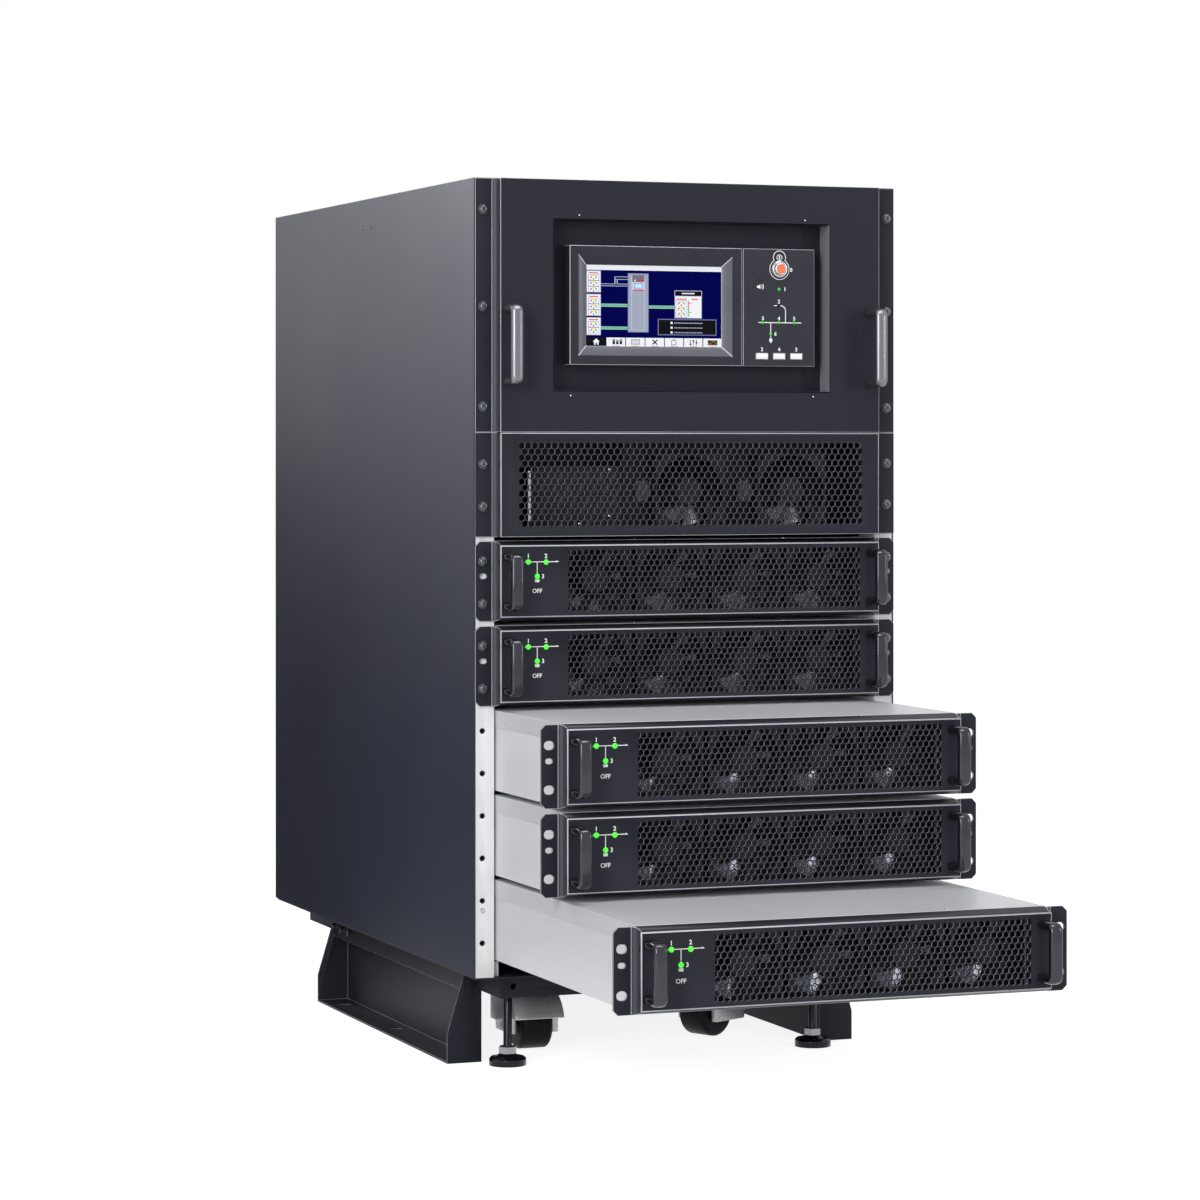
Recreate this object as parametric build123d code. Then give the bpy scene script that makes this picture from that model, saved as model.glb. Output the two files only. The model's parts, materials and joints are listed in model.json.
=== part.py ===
"""Modular UPS cabinet: a 19-inch frame with a control panel, a fan panel and five pull-out power modules.

Millimetres. X is to the right, Y to the rear, Z up. Every sub-part is drawn with Y = 0 at the plane of
the rack ears and Z = 0 on the floor. The export moves Y so that the origin is amid the floor bolts.
"""
import os
from math import cos, radians, sin

from build123d import *

os.makedirs("parts", exist_ok=True)

# the rack: 19 inches over the ears, with holes one unit apart
rack_width = 482.6
bolt_inset = 8.75
bolt_spacing = rack_width - 2 * bolt_inset
unit = 44.45
sheet = 2.0
over = 1.0  # how far a cut runs past the surface it opens

# the stack of fronts, as drops below the top edge
control_panel_drop = 0.6
control_panel_height = 265.8
front_gap = 0.6
fan_panel_drop = control_panel_drop + control_panel_height + front_gap
fan_panel_height = 109.4
module_count = 5
module_pitch = 2 * unit
module_height = 83.9
module_rise = 1.0
first_module_gap = 4.5
first_module_top = fan_panel_drop + fan_panel_height + first_module_gap
first_module_drop = first_module_top + module_height / 2 + module_rise
modules_drop = first_module_top + (module_count - 1) * module_pitch + module_height
foot_space = 17.6

# the cabinet shell
shell_depth = 754.0
shell_height = modules_drop + foot_space
floor_gap = 105.0
shell_top = floor_gap + shell_height
half_shell = rack_width / 2 + 0.7
rail_face = 21.8
rail_inner = rack_width / 2 - rail_face
rail_front = 2.5
rail_depth = 45.0
panel_return = 14.0
cover_lip = 20.0

# boxed fronts stand ahead of the ears
front_depth = 13.0
ear_width = 23.5
half_front = rack_width / 2 - ear_width
ear_chamfer = 5.0
ear_hole_rise = 5.5
ear_slot = (10.4, 8.6)
ear_slot_corner = 2.6
ear_hole = (7.3, 5.2)
ear_hole_corner = 1.6

# the power modules
rear_space = 114.0
module_length = shell_depth - rear_space
half_module = half_front - 0.8
bezel_bevel = 4.3
pulled_out = [0.0, 0.0, 200.0, 200.0, 400.0]
home_clearance = 0.4
chassis_wall = 1.5
bay_left = 146.0
bay_right = 201.0
fan_bay_depth = 62.0
shelf_width = 14.0
shelf_thick = 1.5
guide_end = 54.0
brace_length = 30.0
toe_reach = 36.0
toe_inset = 2.5
toe_width = 5.0

# fans
fan_size = 80.0
fan_bore = 76.0
fan_thick = 25.0
fan_tip_gap = 1.0
strut_thick = 3.0
post_half = 8.0
hub_radius = 15.0
hub_chamfer = 2.0
blade_count = 7
blade_thick = 1.4
blade_chord = 18.0
blade_pitch = 40.0
blade_twist = 24.0
blade_lean = 22.0
blade_sink = 1.5
blade_shares = (0.0, 0.35, 0.7, 1.0)
rotor_inset = 1.5
duct_sides = 24
module_fan_pitch = 86.5
module_fan_middle = 26.8
module_fans_across = 4
module_fan_depth = 8.0
panel_fan_x = [4.0, 122.5]
tray_inset = 3.0
tray_depth = 90.0
supply_left = -170.0
supply_right = -60.0
supply_depth = (34.0, 86.0)
supply_height = 70.0
panel_fan_drop = 329.5
panel_fan_depth = 6.0

# handles
handle_width = 13.5
handle_reach = 30.0
handle_bar = 9.0
handle_corner = 8.0
handle_inner_corner = 3.0
handle_x = half_front - 9.4
module_handle_height = 61.0
panel_handle_height = 85.0
panel_handle_drop = 175.4

# the recess and the display in the control panel
recess_half_width = 157.8
recess_top_drop = 43.2
recess_bottom_drop = 222.5
recess_floor = 10.0
display_left = -139.5
display_right = 58.0
control_right = 142.0
display_top_drop = 69.5
display_bottom_drop = 195.5
display_front = -10.0
frame_edge = 10.0
screen_bevel = 10.5
screen_sink = 6.0
screen_thick = 3.0
screen_margin = 2.0
display_corner = 3.0
split_gap = 1.2
stop_x = 101.0
stop_drop = 91.0
stop_ring_radius = 9.2
stop_ring_rise = 2.0
stop_ring_chamfer = 1.2
stop_bore_depth = 12.0
stop_button_radius = 6.5
stop_button_rise = 5.0
stop_button_root = 5.0
stop_button_chamfer = 1.5
key_x = [80.6, 100.7, 120.8]
key_drop = 184.8
key_width = 13.2
key_height = 6.0
key_rise = 0.8
key_root = 2.5
key_pocket = 4.0
running_gap = 0.25

# the base under the shell
base_inset = 37.0
base_half_width = half_shell - base_inset
base_front = 25.0
base_rear = shell_depth - base_front
base_bottom = 79.0
beam_width = 100.0
beam_wall = 2.5
beam_hole_inset = 14.8
beam_hole_radius = 3.2
side_beam_width = 30.0
floor_pan = 2.0

# levelling feet
foot_inset = 26.4
foot_x = base_half_width - foot_inset
foot_front = 75.6
foot_rear = shell_depth - foot_front
foot_radius = 20.0
foot_pad_height = 9.0
foot_pad_chamfer = 2.0
foot_cone_radii = (13.0, 8.0)
foot_cone_height = 4.0
foot_rod_radius = 4.7
foot_nut_size = 17.0
foot_nut_height = 8.0

# casters
caster_inset = 84.0
caster_x = base_half_width - caster_inset
caster_front = 195.0
caster_rear = shell_depth - caster_front
caster_trail = 30.0
plate_reach = 38.0
plate_half = 50.0
plate_thick = 3.0
caster_turn = [0.0, -63.0, 180.0, 180.0]
wheel_radius = 27.0
wheel_width = 36.0
wheel_lift = 1.5
wheel_chamfer = 3.0
hood_half_width = 28.0
hood_top = 68.0
hood_wall_gap = 3.0
hood_arch_gap = 4.0
hood_thick = 4.0
hood_behind = 22.0
hood_skirt = 9.0
hood_mouth = 14.0
hood_cut = 100.0
collar_radius = 19.0
collar_gap = 0.3
axle_radius = 4.0
axle_gap = 0.08

# floor brackets
bracket_front = 102.0
bracket_rear = 586.0
bracket_outer = half_shell - 4
bracket_web = base_half_width - 6
bracket_foot_height = 32.0
bracket_top = 99.0
bracket_neck = base_half_width + 13
floor_bolt_x = half_shell - 22
floor_bolt_ahead = 339.0
floor_bolt_behind = 536.0
floor_bolt_mid = (floor_bolt_ahead + floor_bolt_behind) / 2
floor_slot_radius = 4.5
floor_slot_length = 15.0

# holes in the rails
rail_hole_radius = 3.3


upright = (Align.CENTER, Align.CENTER, Align.MIN)


def block(x, y, z):
    """A box from its low and high values on each axis."""
    size = [abs(span[1] - span[0]) for span in (x, y, z)]
    middle = [(span[0] + span[1]) / 2 for span in (x, y, z)]
    return Pos(*middle) * Box(*size)


def mirror_x(shape):
    """The same shape on the other side of the cabinet."""
    return mirror(shape, about=Plane.YZ)


def facing_y(x, z, radius, y):
    """A round bar along Y."""
    middle = (y[0] + y[1]) / 2
    return Pos(x, middle, z) * Rot(90, 0, 0) * Cylinder(radius, abs(y[1] - y[0]))


def flat_sided(x, z, radius, y):
    """A bar along Y with flat sides, for round shapes that repeat many times."""
    outline = Plane.XZ.offset(-y[0]) * Pos(x, z) * RegularPolygon(radius, duct_sides)
    return extrude(outline, y[0] - y[1])


def drop(value):
    """A height from its distance below the shell's top edge."""
    return shell_top - value


def bolt_middle(slot):
    """The height midway between a module's two ear bolts."""
    return drop(first_module_drop + slot * module_pitch)


def module_middle(slot):
    """The height of a module's middle, a little above its bolts' middle."""
    return bolt_middle(slot) + module_rise


def save(name, shape):
    shape = Pos(0, -floor_bolt_mid, 0) * shape
    export_step(shape, f"parts/{name}.step")


def side_panel(side):
    """A flat side with a narrow return along its front and rear edges."""
    outer = side * half_shell
    inner = side * (half_shell - sheet)
    turned = side * (half_shell - panel_return)
    z = (floor_gap, shell_top)
    panel = block((inner, outer), (sheet, shell_depth - sheet), z)
    rear = block((turned, outer), (shell_depth - 2 * sheet, shell_depth - sheet), z)
    return panel + rear


def top_cover():
    """The top sheet, folded down at its front edge behind the control panel."""
    inside = half_shell - sheet
    top = block((-inside, inside), (rail_front, shell_depth - 2 * sheet), (shell_top - sheet, shell_top))
    lip_z = (shell_top - cover_lip, shell_top)
    lip = block((-rail_inner, rail_inner), (rail_front, rail_front + sheet), lip_z)
    return top + lip


def rear_panel():
    """A plain rear sheet that closes the shell."""
    return block((-half_shell, half_shell), (shell_depth - sheet, shell_depth), (floor_gap, shell_top))


def front_rails():
    """Two vertical rails with a hole for each ear bolt, folded to the rear along the inner edge."""
    inside = half_shell - sheet
    y = (rail_front, rail_depth)
    z = (floor_gap, shell_top - sheet - cover_lip)
    face = block((-inside, -rail_inner), (rail_front, rail_front + sheet), z)
    fold = block((-rail_inner - sheet, -rail_inner), y, z)
    wall = block((-inside, -inside + sheet), y, (floor_gap, shell_top - sheet))
    rail = face + fold + wall
    for slot in range(module_count):
        for half in (-0.5, 0.5):
            z_hole = bolt_middle(slot) + half * unit
            rail -= facing_y(-bolt_spacing / 2, z_hole, rail_hole_radius, (0, rail_front + 2 * sheet))
    return rail + mirror_x(rail)


def module_runners():
    """White guide walls beside the modules, with one shelf under each and a toe at the foot."""
    inner = rail_inner
    outer = rail_inner + sheet
    y = (rail_depth + over, shell_depth - guide_end)
    top = module_middle(0) + module_height / 2
    wall = block((-outer, -inner), y, (floor_gap, top))
    for slot in range(module_count):
        under = module_middle(slot) - module_height / 2 - home_clearance
        wall += block((-inner, -inner + shelf_width), y, (under - shelf_thick, under))
    wall += block((-inner, -inner + shelf_width - sheet), (y[0], y[0] + brace_length), (floor_gap, under))
    toe = (-inner + toe_inset, -inner + toe_inset + toe_width)
    wall += block(toe, (y[0] - toe_reach, y[0] + over), (floor_gap, under - shelf_thick))
    for brace in (y[0], y[1] - brace_length):
        wall += block((-half_shell + sheet, -outer), (brace, brace + brace_length), (floor_gap, top))
    return wall + mirror_x(wall)


def floor_panel():
    """The shell's own floor sheet."""
    inside = half_shell - sheet
    return block((-inside, inside), (rail_front, shell_depth - sheet), (floor_gap - floor_pan, floor_gap))


def base_frame():
    """Cross beams and side beams under the floor sheet, with a mounting plate for each caster."""
    top = floor_gap - floor_pan
    z = (base_bottom, top)
    frame = None
    wall = beam_wall
    for near, far in ((base_front, base_front + beam_width), (base_rear - beam_width, base_rear)):
        beam = block((-base_half_width, base_half_width), (near, far), z)
        hollow = block((-base_half_width + wall, base_half_width - wall), (near + wall, far - wall),
                       (base_bottom + wall, top))
        beam -= hollow
        frame = beam if frame is None else frame + beam
    for side in (-1, 1):
        outer = side * base_half_width
        inner = side * (base_half_width - side_beam_width)
        y = (base_front + beam_width - wall, base_rear - beam_width + wall)
        frame += block((outer, outer - side * wall), y, z)
        frame += block((outer, inner), y, (base_bottom, base_bottom + wall))
    for x, y in caster_places():
        near = base_front + beam_width - wall if y < shell_depth / 2 else y - plate_reach
        far = y + plate_reach if y < shell_depth / 2 else base_rear - beam_width + wall
        plate_z = (base_bottom, base_bottom + plate_thick)
        frame += block((x - plate_half, x + plate_half), (near, far), plate_z)
        for edge in (x - plate_half, x + plate_half - plate_thick):
            frame += block((edge, edge + plate_thick), (near, far), z)
    hole_x = base_half_width - beam_hole_inset
    middle = (z[0] + z[1]) / 2
    through = (base_front - over, base_front + wall + over)
    for side in (-1, 1):
        frame -= facing_y(side * hole_x, middle, beam_hole_radius, through)
    return frame


def caster_places():
    return [(side * caster_x, y) for y in (caster_front, caster_rear) for side in (-1, 1)]


def levelling_feet():
    """Four threaded rods with a lock nut and a round pad."""
    feet = None
    for x, y in ((-foot_x, foot_front), (foot_x, foot_front), (-foot_x, foot_rear), (foot_x, foot_rear)):
        pad = Cylinder(foot_radius, foot_pad_height, align=upright)
        pad = chamfer(pad.edges().filter_by(GeomType.CIRCLE).sort_by(Axis.Z)[-1], foot_pad_chamfer)
        cone = Pos(0, 0, foot_pad_height) * Cone(*foot_cone_radii, foot_cone_height, align=upright)
        nut_bottom = foot_pad_height + foot_cone_height - over
        nut_outline = RegularPolygon(foot_nut_size / 2, 6, major_radius=False)
        nut = Pos(0, 0, nut_bottom) * extrude(nut_outline, foot_nut_height)
        rod_bottom = foot_pad_height + over
        rod = Pos(0, 0, rod_bottom) * Cylinder(foot_rod_radius, base_bottom - rod_bottom, align=upright)
        foot = Pos(x, y, 0) * (pad + cone + nut + rod)
        feet = foot if feet is None else feet + foot
    return feet


def caster_hood(index):
    """A swivel hood, open underneath and arched over the wheel, on a collar under its plate."""
    axle_z = wheel_radius + wheel_lift
    axle_place = Pos(0, -caster_trail, axle_z) * Rot(0, 90, 0)
    across = (-hood_cut, hood_cut)
    arch_radius = wheel_radius + hood_arch_gap
    hood = axle_place * Cylinder(arch_radius + hood_thick, 2 * hood_half_width)
    hood += block((-hood_half_width, hood_half_width), (-caster_trail, hood_behind), (axle_z, hood_top))
    hood &= block(across, across, (axle_z - hood_skirt, hood_top))
    cavity_half = wheel_width / 2 + hood_wall_gap
    hood -= axle_place * Cylinder(arch_radius, 2 * cavity_half)
    hood -= block((-cavity_half, cavity_half), (-hood_cut, 0), (0, axle_z))
    hood -= block(across, (-hood_cut, -caster_trail - hood_mouth), (0, axle_z + hood_skirt))
    collar_height = base_bottom - collar_gap - hood_top + over
    collar = Pos(0, 0, hood_top - over) * Cylinder(collar_radius, collar_height, align=upright)
    axle = axle_place * Cylinder(axle_radius, 2 * hood_half_width)
    return turned_caster(index) * (hood + collar + axle)


def caster_wheel(index):
    """A wide plain wheel with eased shoulders and a bore for its axle."""
    wheel = Cylinder(wheel_radius, wheel_width)
    wheel = chamfer(wheel.edges().filter_by(GeomType.CIRCLE), wheel_chamfer)
    wheel -= Cylinder(axle_radius + axle_gap, wheel_width)
    wheel = Pos(0, -caster_trail, wheel_radius + wheel_lift) * Rot(0, 90, 0) * wheel
    return turned_caster(index) * wheel


def turned_caster(index):
    """A caster's place and the way it happens to point."""
    x, y = caster_places()[index]
    return Pos(x, y, 0) * Rot(0, 0, caster_turn[index])


def floor_bracket():
    """A folded floor bracket: web, floor flange with two slots, top flange and tapered ends."""
    y = (bracket_front, bracket_rear)
    web = block((-bracket_web - sheet, -bracket_web), y, (0, base_bottom))
    floor = block((-bracket_outer, -bracket_web), y, (0, sheet))
    top = block((-bracket_neck, -bracket_web), y, (base_bottom - sheet, base_bottom))
    bracket = web + floor + top
    beside = -base_half_width - over
    slope = [(-bracket_outer, 0), (-bracket_outer, bracket_foot_height), (-bracket_neck, bracket_top)]
    inside = [(beside, bracket_top), (beside, base_bottom), (-bracket_web, base_bottom), (-bracket_web, 0)]
    outline = Polyline(slope + inside, close=True)
    end = extrude(Plane.XZ * make_face(outline), -sheet)
    bracket += Pos(0, bracket_front, 0) * end
    bracket += Pos(0, bracket_rear - sheet, 0) * end
    for y in (floor_bolt_ahead, floor_bolt_behind):
        slot = SlotOverall(floor_slot_length, 2 * floor_slot_radius)
        bracket -= Pos(-floor_bolt_x, y, -over) * extrude(slot, 2 * sheet)
    return bracket


def ear_pair(z_low, z_high, chamfer_size, y=(0, sheet)):
    """The flat ears beside a boxed front."""
    half = rack_width / 2
    ear = block((-half, -half_front + sheet), y, (z_low, z_high))
    if chamfer_size:
        ear = chamfer(ear.edges().filter_by(Axis.Y).group_by(Axis.X)[0], chamfer_size)
    return ear, mirror_x(ear)


def boxed_front(z_low, z_high, bevel):
    """A shallow box, open to the rear, that stands ahead of the ears."""
    outer = block((-half_front, half_front), (-front_depth, sheet), (z_low, z_high))
    if bevel:
        outer = bevelled(outer, z_low, z_high, bevel)
    inner = block((-half_front + sheet, half_front - sheet), (-front_depth + sheet, sheet + over),
                  (z_low + sheet + bevel, z_high - sheet - bevel))
    return outer - inner


def bevelled(outer, z_low, z_high, bevel):
    """Slope the top and the bottom of a boxed front towards its face."""
    ahead = -front_depth - over
    foot = z_high - bevel * (front_depth + over) / front_depth
    above = z_high + bevel
    slope = Polyline([(ahead, foot), (0, z_high), (0, above), (ahead, above)], close=True)
    cut = extrude(Plane.YZ * make_face(slope), half_front + over, both=True)
    low_cut = mirror(cut, about=Plane.XY.offset((z_low + z_high) / 2))
    return outer - cut - low_cut


def control_panel():
    """The six-unit front with ears and the deep recess that holds the display."""
    z_high = drop(control_panel_drop)
    z_low = z_high - control_panel_height
    panel = boxed_front(z_low, z_high, 0)
    for ear in ear_pair(z_low, z_high, 0):
        panel += ear
    well_x = (-recess_half_width, recess_half_width)
    well_z = (drop(recess_bottom_drop), drop(recess_top_drop))
    wall = chassis_wall
    tub = block((well_x[0] - wall, well_x[1] + wall), (-front_depth, recess_floor + wall),
                (well_z[0] - wall, well_z[1] + wall))
    well = block(well_x, (-front_depth - over, recess_floor), well_z)
    return panel + tub - well


def display_housing():
    """The display's box with a wide bevel that slopes in to the screen."""
    x = (display_left, display_right - split_gap / 2)
    z = (drop(display_bottom_drop), drop(display_top_drop))
    box = block(x, (display_front, recess_floor), z)
    box = fillet(box.edges().filter_by(Axis.Y).group_by(Axis.X)[0], display_corner)
    mouth = Plane.XZ.offset(-display_front)
    wide = window(frame_edge, 0)
    narrow = window(frame_edge, screen_bevel)
    funnel = loft([mouth * wide, mouth.offset(-screen_sink) * narrow])
    seat = extrude(mouth.offset(-screen_sink) * narrow, -screen_thick)
    return box - funnel - seat


def window(edge, inset):
    """The screen's opening as a rectangle in the display's front plane."""
    left = display_left + edge + inset
    right = display_right - edge - screen_margin - inset
    low = drop(display_bottom_drop) + edge + inset
    high = drop(display_top_drop) - edge - inset
    return Pos((left + right) / 2, (low + high) / 2) * Rectangle(right - left, high - low)


def display_screen():
    """The glass, set against the inner edge of the bevel."""
    mouth = Plane.XZ.offset(-display_front - screen_sink)
    return extrude(mouth * window(frame_edge, screen_bevel + running_gap), -screen_thick)


def control_plate():
    """The block beside the display, bored for the stop button and pocketed for three keys."""
    x = (display_right + split_gap / 2, control_right)
    z = (drop(display_bottom_drop), drop(display_top_drop))
    plate = block(x, (display_front, recess_floor), z)
    plate = fillet(plate.edges().filter_by(Axis.Y).group_by(Axis.X)[-1], display_corner)
    z_stop = drop(stop_drop)
    ring_front = display_front - stop_ring_rise
    ring = facing_y(stop_x, z_stop, stop_ring_radius, (ring_front, display_front + over))
    plate += chamfer(ring.edges().filter_by(GeomType.CIRCLE).sort_by(Axis.Y)[0], stop_ring_chamfer)
    bore = (ring_front - over, display_front + stop_bore_depth)
    plate -= facing_y(stop_x, z_stop, stop_button_radius + running_gap, bore)
    for x_key in key_x:
        plate -= key_block(x_key, running_gap, (display_front - over, display_front + key_pocket))
    return plate


def key_block(x, grow, y):
    half = key_width / 2 + grow
    tall = key_height / 2 + grow
    return block((x - half, x + half), y, (drop(key_drop) - tall, drop(key_drop) + tall))


def stop_button():
    y = (display_front - stop_button_rise, display_front + stop_button_root)
    button = facing_y(stop_x, drop(stop_drop), stop_button_radius, y)
    return chamfer(button.edges().filter_by(GeomType.CIRCLE).sort_by(Axis.Y)[0], stop_button_chamfer)


def control_key(index):
    return key_block(key_x[index], 0, (display_front - key_rise, display_front + key_root))


def handle(x, z, height):
    """A flat bar folded to a U, with rounded outer and inner corners."""
    outer = Pos(-front_depth - handle_reach / 2, 0) * Rectangle(handle_reach, height)
    outer = fillet(outer.vertices().group_by(Axis.X)[0], handle_corner)
    inside = handle_reach - handle_bar
    inner = Pos(-front_depth - inside / 2, 0) * Rectangle(inside, height - 2 * handle_bar + sheet)
    inner = fillet(inner.vertices().group_by(Axis.X)[0], handle_inner_corner)
    bar = extrude(Plane.YZ * (outer - inner), handle_width / 2, both=True)
    return Pos(x, 0, z) * bar


def handle_pair(z, height):
    return handle(-handle_x, z, height) + handle(handle_x, z, height)


def fan_panel():
    """The fan tray's front: a boxed plate with ears, behind whose grille the two large fans sit."""
    z_high = drop(fan_panel_drop)
    z_low = z_high - fan_panel_height
    panel = boxed_front(z_low, z_high, 0)
    for ear in ear_pair(z_low, z_high, 0):
        panel += ear
    return panel


def fan_tray():
    """The shallow box that carries the fans behind the fan panel."""
    z_high = drop(fan_panel_drop) - tray_inset
    z_low = drop(fan_panel_drop) - fan_panel_height + tray_inset
    wall = chassis_wall
    tray = block((-half_module, half_module), (sheet, tray_depth), (z_low, z_high))
    tray -= block((-half_module + wall, half_module - wall), (sheet - over, tray_depth - wall),
                  (z_low + wall, z_high - wall))
    z_fan = drop(panel_fan_drop)
    for x in panel_fan_x:
        back = panel_fan_depth + fan_thick
        post = block((x - post_half, x + post_half), (back - strut_thick, back),
                     (z_low + wall / 2, z_fan - fan_size / 2 + wall))
        tray += fan_frame(x, panel_fan_depth, z_fan) + post
    supply = block((supply_left, supply_right), supply_depth, (z_low + wall / 2, z_low + supply_height))
    return tray + supply


def fan_frame(x, y, z, bar=facing_y):
    """A square fan frame with a round duct, four rear struts and the motor's seat."""
    half = fan_size / 2
    frame = block((x - half, x + half), (y, y + fan_thick), (z - half, z + half))
    frame -= bar(x, z, fan_bore / 2, (y - over, y + fan_thick + over))
    back = (y + fan_thick - strut_thick, y + fan_thick)
    seat = bar(x, z, hub_radius, back)
    struts = Box(fan_bore + 2, strut_thick, 4) + Box(4, strut_thick, fan_bore + 2)
    return frame + seat + Pos(x, (back[0] + back[1]) / 2, z) * Rot(0, 30, 0) * struts


def blade_section(radius, share, chord):
    """The four corners of a blade's section at one radius, leaning back and turned by its pitch."""
    lean = radians(blade_lean * share ** 1.3)
    pitch = radians(blade_pitch + blade_twist * share)
    half_chord = chord * (1 + 0.35 * share) / 2
    half_thick = blade_thick / 2
    corners = []
    for a, b in ((-1, -1), (1, -1), (1, 1), (-1, 1)):
        along = a * half_chord * cos(pitch) + b * half_thick * sin(pitch)
        aside = b * half_thick * cos(pitch) - a * half_chord * sin(pitch)
        x = radius * cos(lean) - aside * sin(lean)
        z = radius * sin(lean) + aside * cos(lean)
        corners.append((x, along, z))
    return corners


def blade(root, tip, chord):
    """One swept, twisted blade with flat facets from its steep root to its flatter tip."""
    rows = [blade_section(root + (tip - root) * share, share, chord) for share in blade_shares]
    corners = [rows[0], rows[-1][::-1]]
    for near, far in zip(rows, rows[1:]):
        for i in range(4):
            j = (i + 1) % 4
            corners.append([near[j], near[i], far[i]])
            corners.append([near[j], far[i], far[j]])
    triangles = []
    for points in corners:
        for i in range(1, len(points) - 1):
            triangles.append(Face(Wire.make_polygon([points[0], points[i], points[i + 1]])))
    return Solid(Shell(triangles))


def fan_rotor(x, y, z):
    """A hub with swept, twisted blades that stop short of the duct."""
    length = fan_thick - strut_thick - rotor_inset - running_gap
    hub = Rot(90, 0, 0) * Cylinder(hub_radius, length)
    rotor = chamfer(hub.edges().filter_by(GeomType.CIRCLE).sort_by(Axis.Y)[0], hub_chamfer)
    wing = blade(hub_radius - blade_sink, fan_bore / 2 - fan_tip_gap - blade_sink, blade_chord)
    for turn in range(blade_count):
        rotor += Rot(0, 360 / blade_count * turn, 0) * wing
    return Pos(x, y + rotor_inset + length / 2, z) * rotor


def plain_rotor(x, y, z):
    """A module fan's rotor with flat pitched blades."""
    length = fan_thick - strut_thick - 2 * blade_sink
    rotor = flat_sided(0, 0, hub_radius, (-(length + over) / 2, (length + over) / 2))
    root = hub_radius - blade_sink
    tip = fan_bore / 2 - fan_tip_gap
    for turn in range(blade_count):
        wing = Pos((root + tip) / 2, 0, 0) * Rot(blade_pitch, 0, 0) * Box(tip - root, blade_thick, length)
        rotor += Rot(0, 360 / blade_count * turn, 0) * wing
    return Pos(x, y + (fan_thick - strut_thick) / 2 + over, z) * rotor


def module_chassis(z):
    """The module's closed case, with an open fan bay behind the grille."""
    half = module_height / 2
    case = block((-half_module, half_module), (sheet, module_length), (z - half, z + half))
    bay = block((-bay_left, bay_right), (sheet - over, fan_bay_depth),
                (z - half + chassis_wall, z + half - chassis_wall))
    return case - bay


def module_bezel(z):
    """The module's front: a bevelled box with ears, each with two bolt holes and a small oblong hole."""
    half = module_height / 2
    bezel = boxed_front(z - half, z + half, bezel_bevel)
    for side, ear in zip((-1, 1), ear_pair(z - half, z + half, ear_chamfer)):
        x = side * bolt_spacing / 2
        for offset in (-0.5, 0.5):
            ear -= ear_opening(x, z - module_rise + offset * unit, ear_slot, ear_slot_corner)
        ear -= ear_opening(x, z + ear_hole_rise, ear_hole, ear_hole_corner)
        bezel += ear
    return bezel


def ear_opening(x, z, size, corner):
    """An oblong opening through an ear, with its round ends drawn as cut corners."""
    outline = Rectangle(*size)
    outline = chamfer(outline.vertices(), corner)
    return extrude(Plane.XZ * Pos(x, z) * outline, 2 * sheet, both=True)


def module_fans(z):
    """Four fans side by side in the fan bay."""
    fans = None
    first = module_fan_middle - (module_fans_across - 1) / 2 * module_fan_pitch
    for index in range(module_fans_across):
        x = first + index * module_fan_pitch
        fan = fan_frame(x, module_fan_depth, z, flat_sided) + plain_rotor(x, module_fan_depth, z)
        fans = fan if fans is None else fans + fan
    return fans


def build_module(slot):
    z = module_middle(slot)
    place = Pos(0, -pulled_out[slot], 0)
    name = f"module_{slot + 1}"
    save(f"{name}_chassis", place * module_chassis(z))
    save(f"{name}_bezel", place * module_bezel(z))
    save(f"{name}_handles", place * handle_pair(z, module_handle_height))
    save(f"{name}_fans", place * module_fans(z))


def build_shell():
    save("side_panel_left", side_panel(-1))
    save("side_panel_right", side_panel(1))
    save("top_cover", top_cover())
    save("rear_panel", rear_panel())
    save("front_rails", front_rails())
    save("module_runners", module_runners())
    save("floor_panel", floor_panel())
    save("base_frame", base_frame())
    save("levelling_feet", levelling_feet())
    save("floor_bracket_left", floor_bracket())
    save("floor_bracket_right", mirror_x(floor_bracket()))


def build_casters():
    for index, name in enumerate(("front_left", "front_right", "rear_left", "rear_right")):
        save(f"caster_hood_{name}", caster_hood(index))
        save(f"caster_wheel_{name}", caster_wheel(index))


def build_fronts():
    save("control_panel", control_panel())
    save("display_housing", display_housing())
    save("display_screen", display_screen())
    save("control_plate", control_plate())
    save("stop_button", stop_button())
    for index, name in enumerate(("bypass_key", "inverter_key", "mute_key")):
        save(name, control_key(index))
    save("panel_handles", handle_pair(drop(panel_handle_drop), panel_handle_height))
    save("fan_panel", fan_panel())
    save("fan_tray", fan_tray())
    for x, name in zip(panel_fan_x, ("fan_rotor_left", "fan_rotor_right")):
        save(name, fan_rotor(x, panel_fan_depth, drop(panel_fan_drop)))


build_shell()
build_casters()
build_fronts()
for slot in range(module_count):
    build_module(slot)
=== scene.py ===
import json
from math import atan2, cos, pi, radians, sin, sqrt

import bmesh
import bpy
from mathutils import Matrix, Vector


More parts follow.
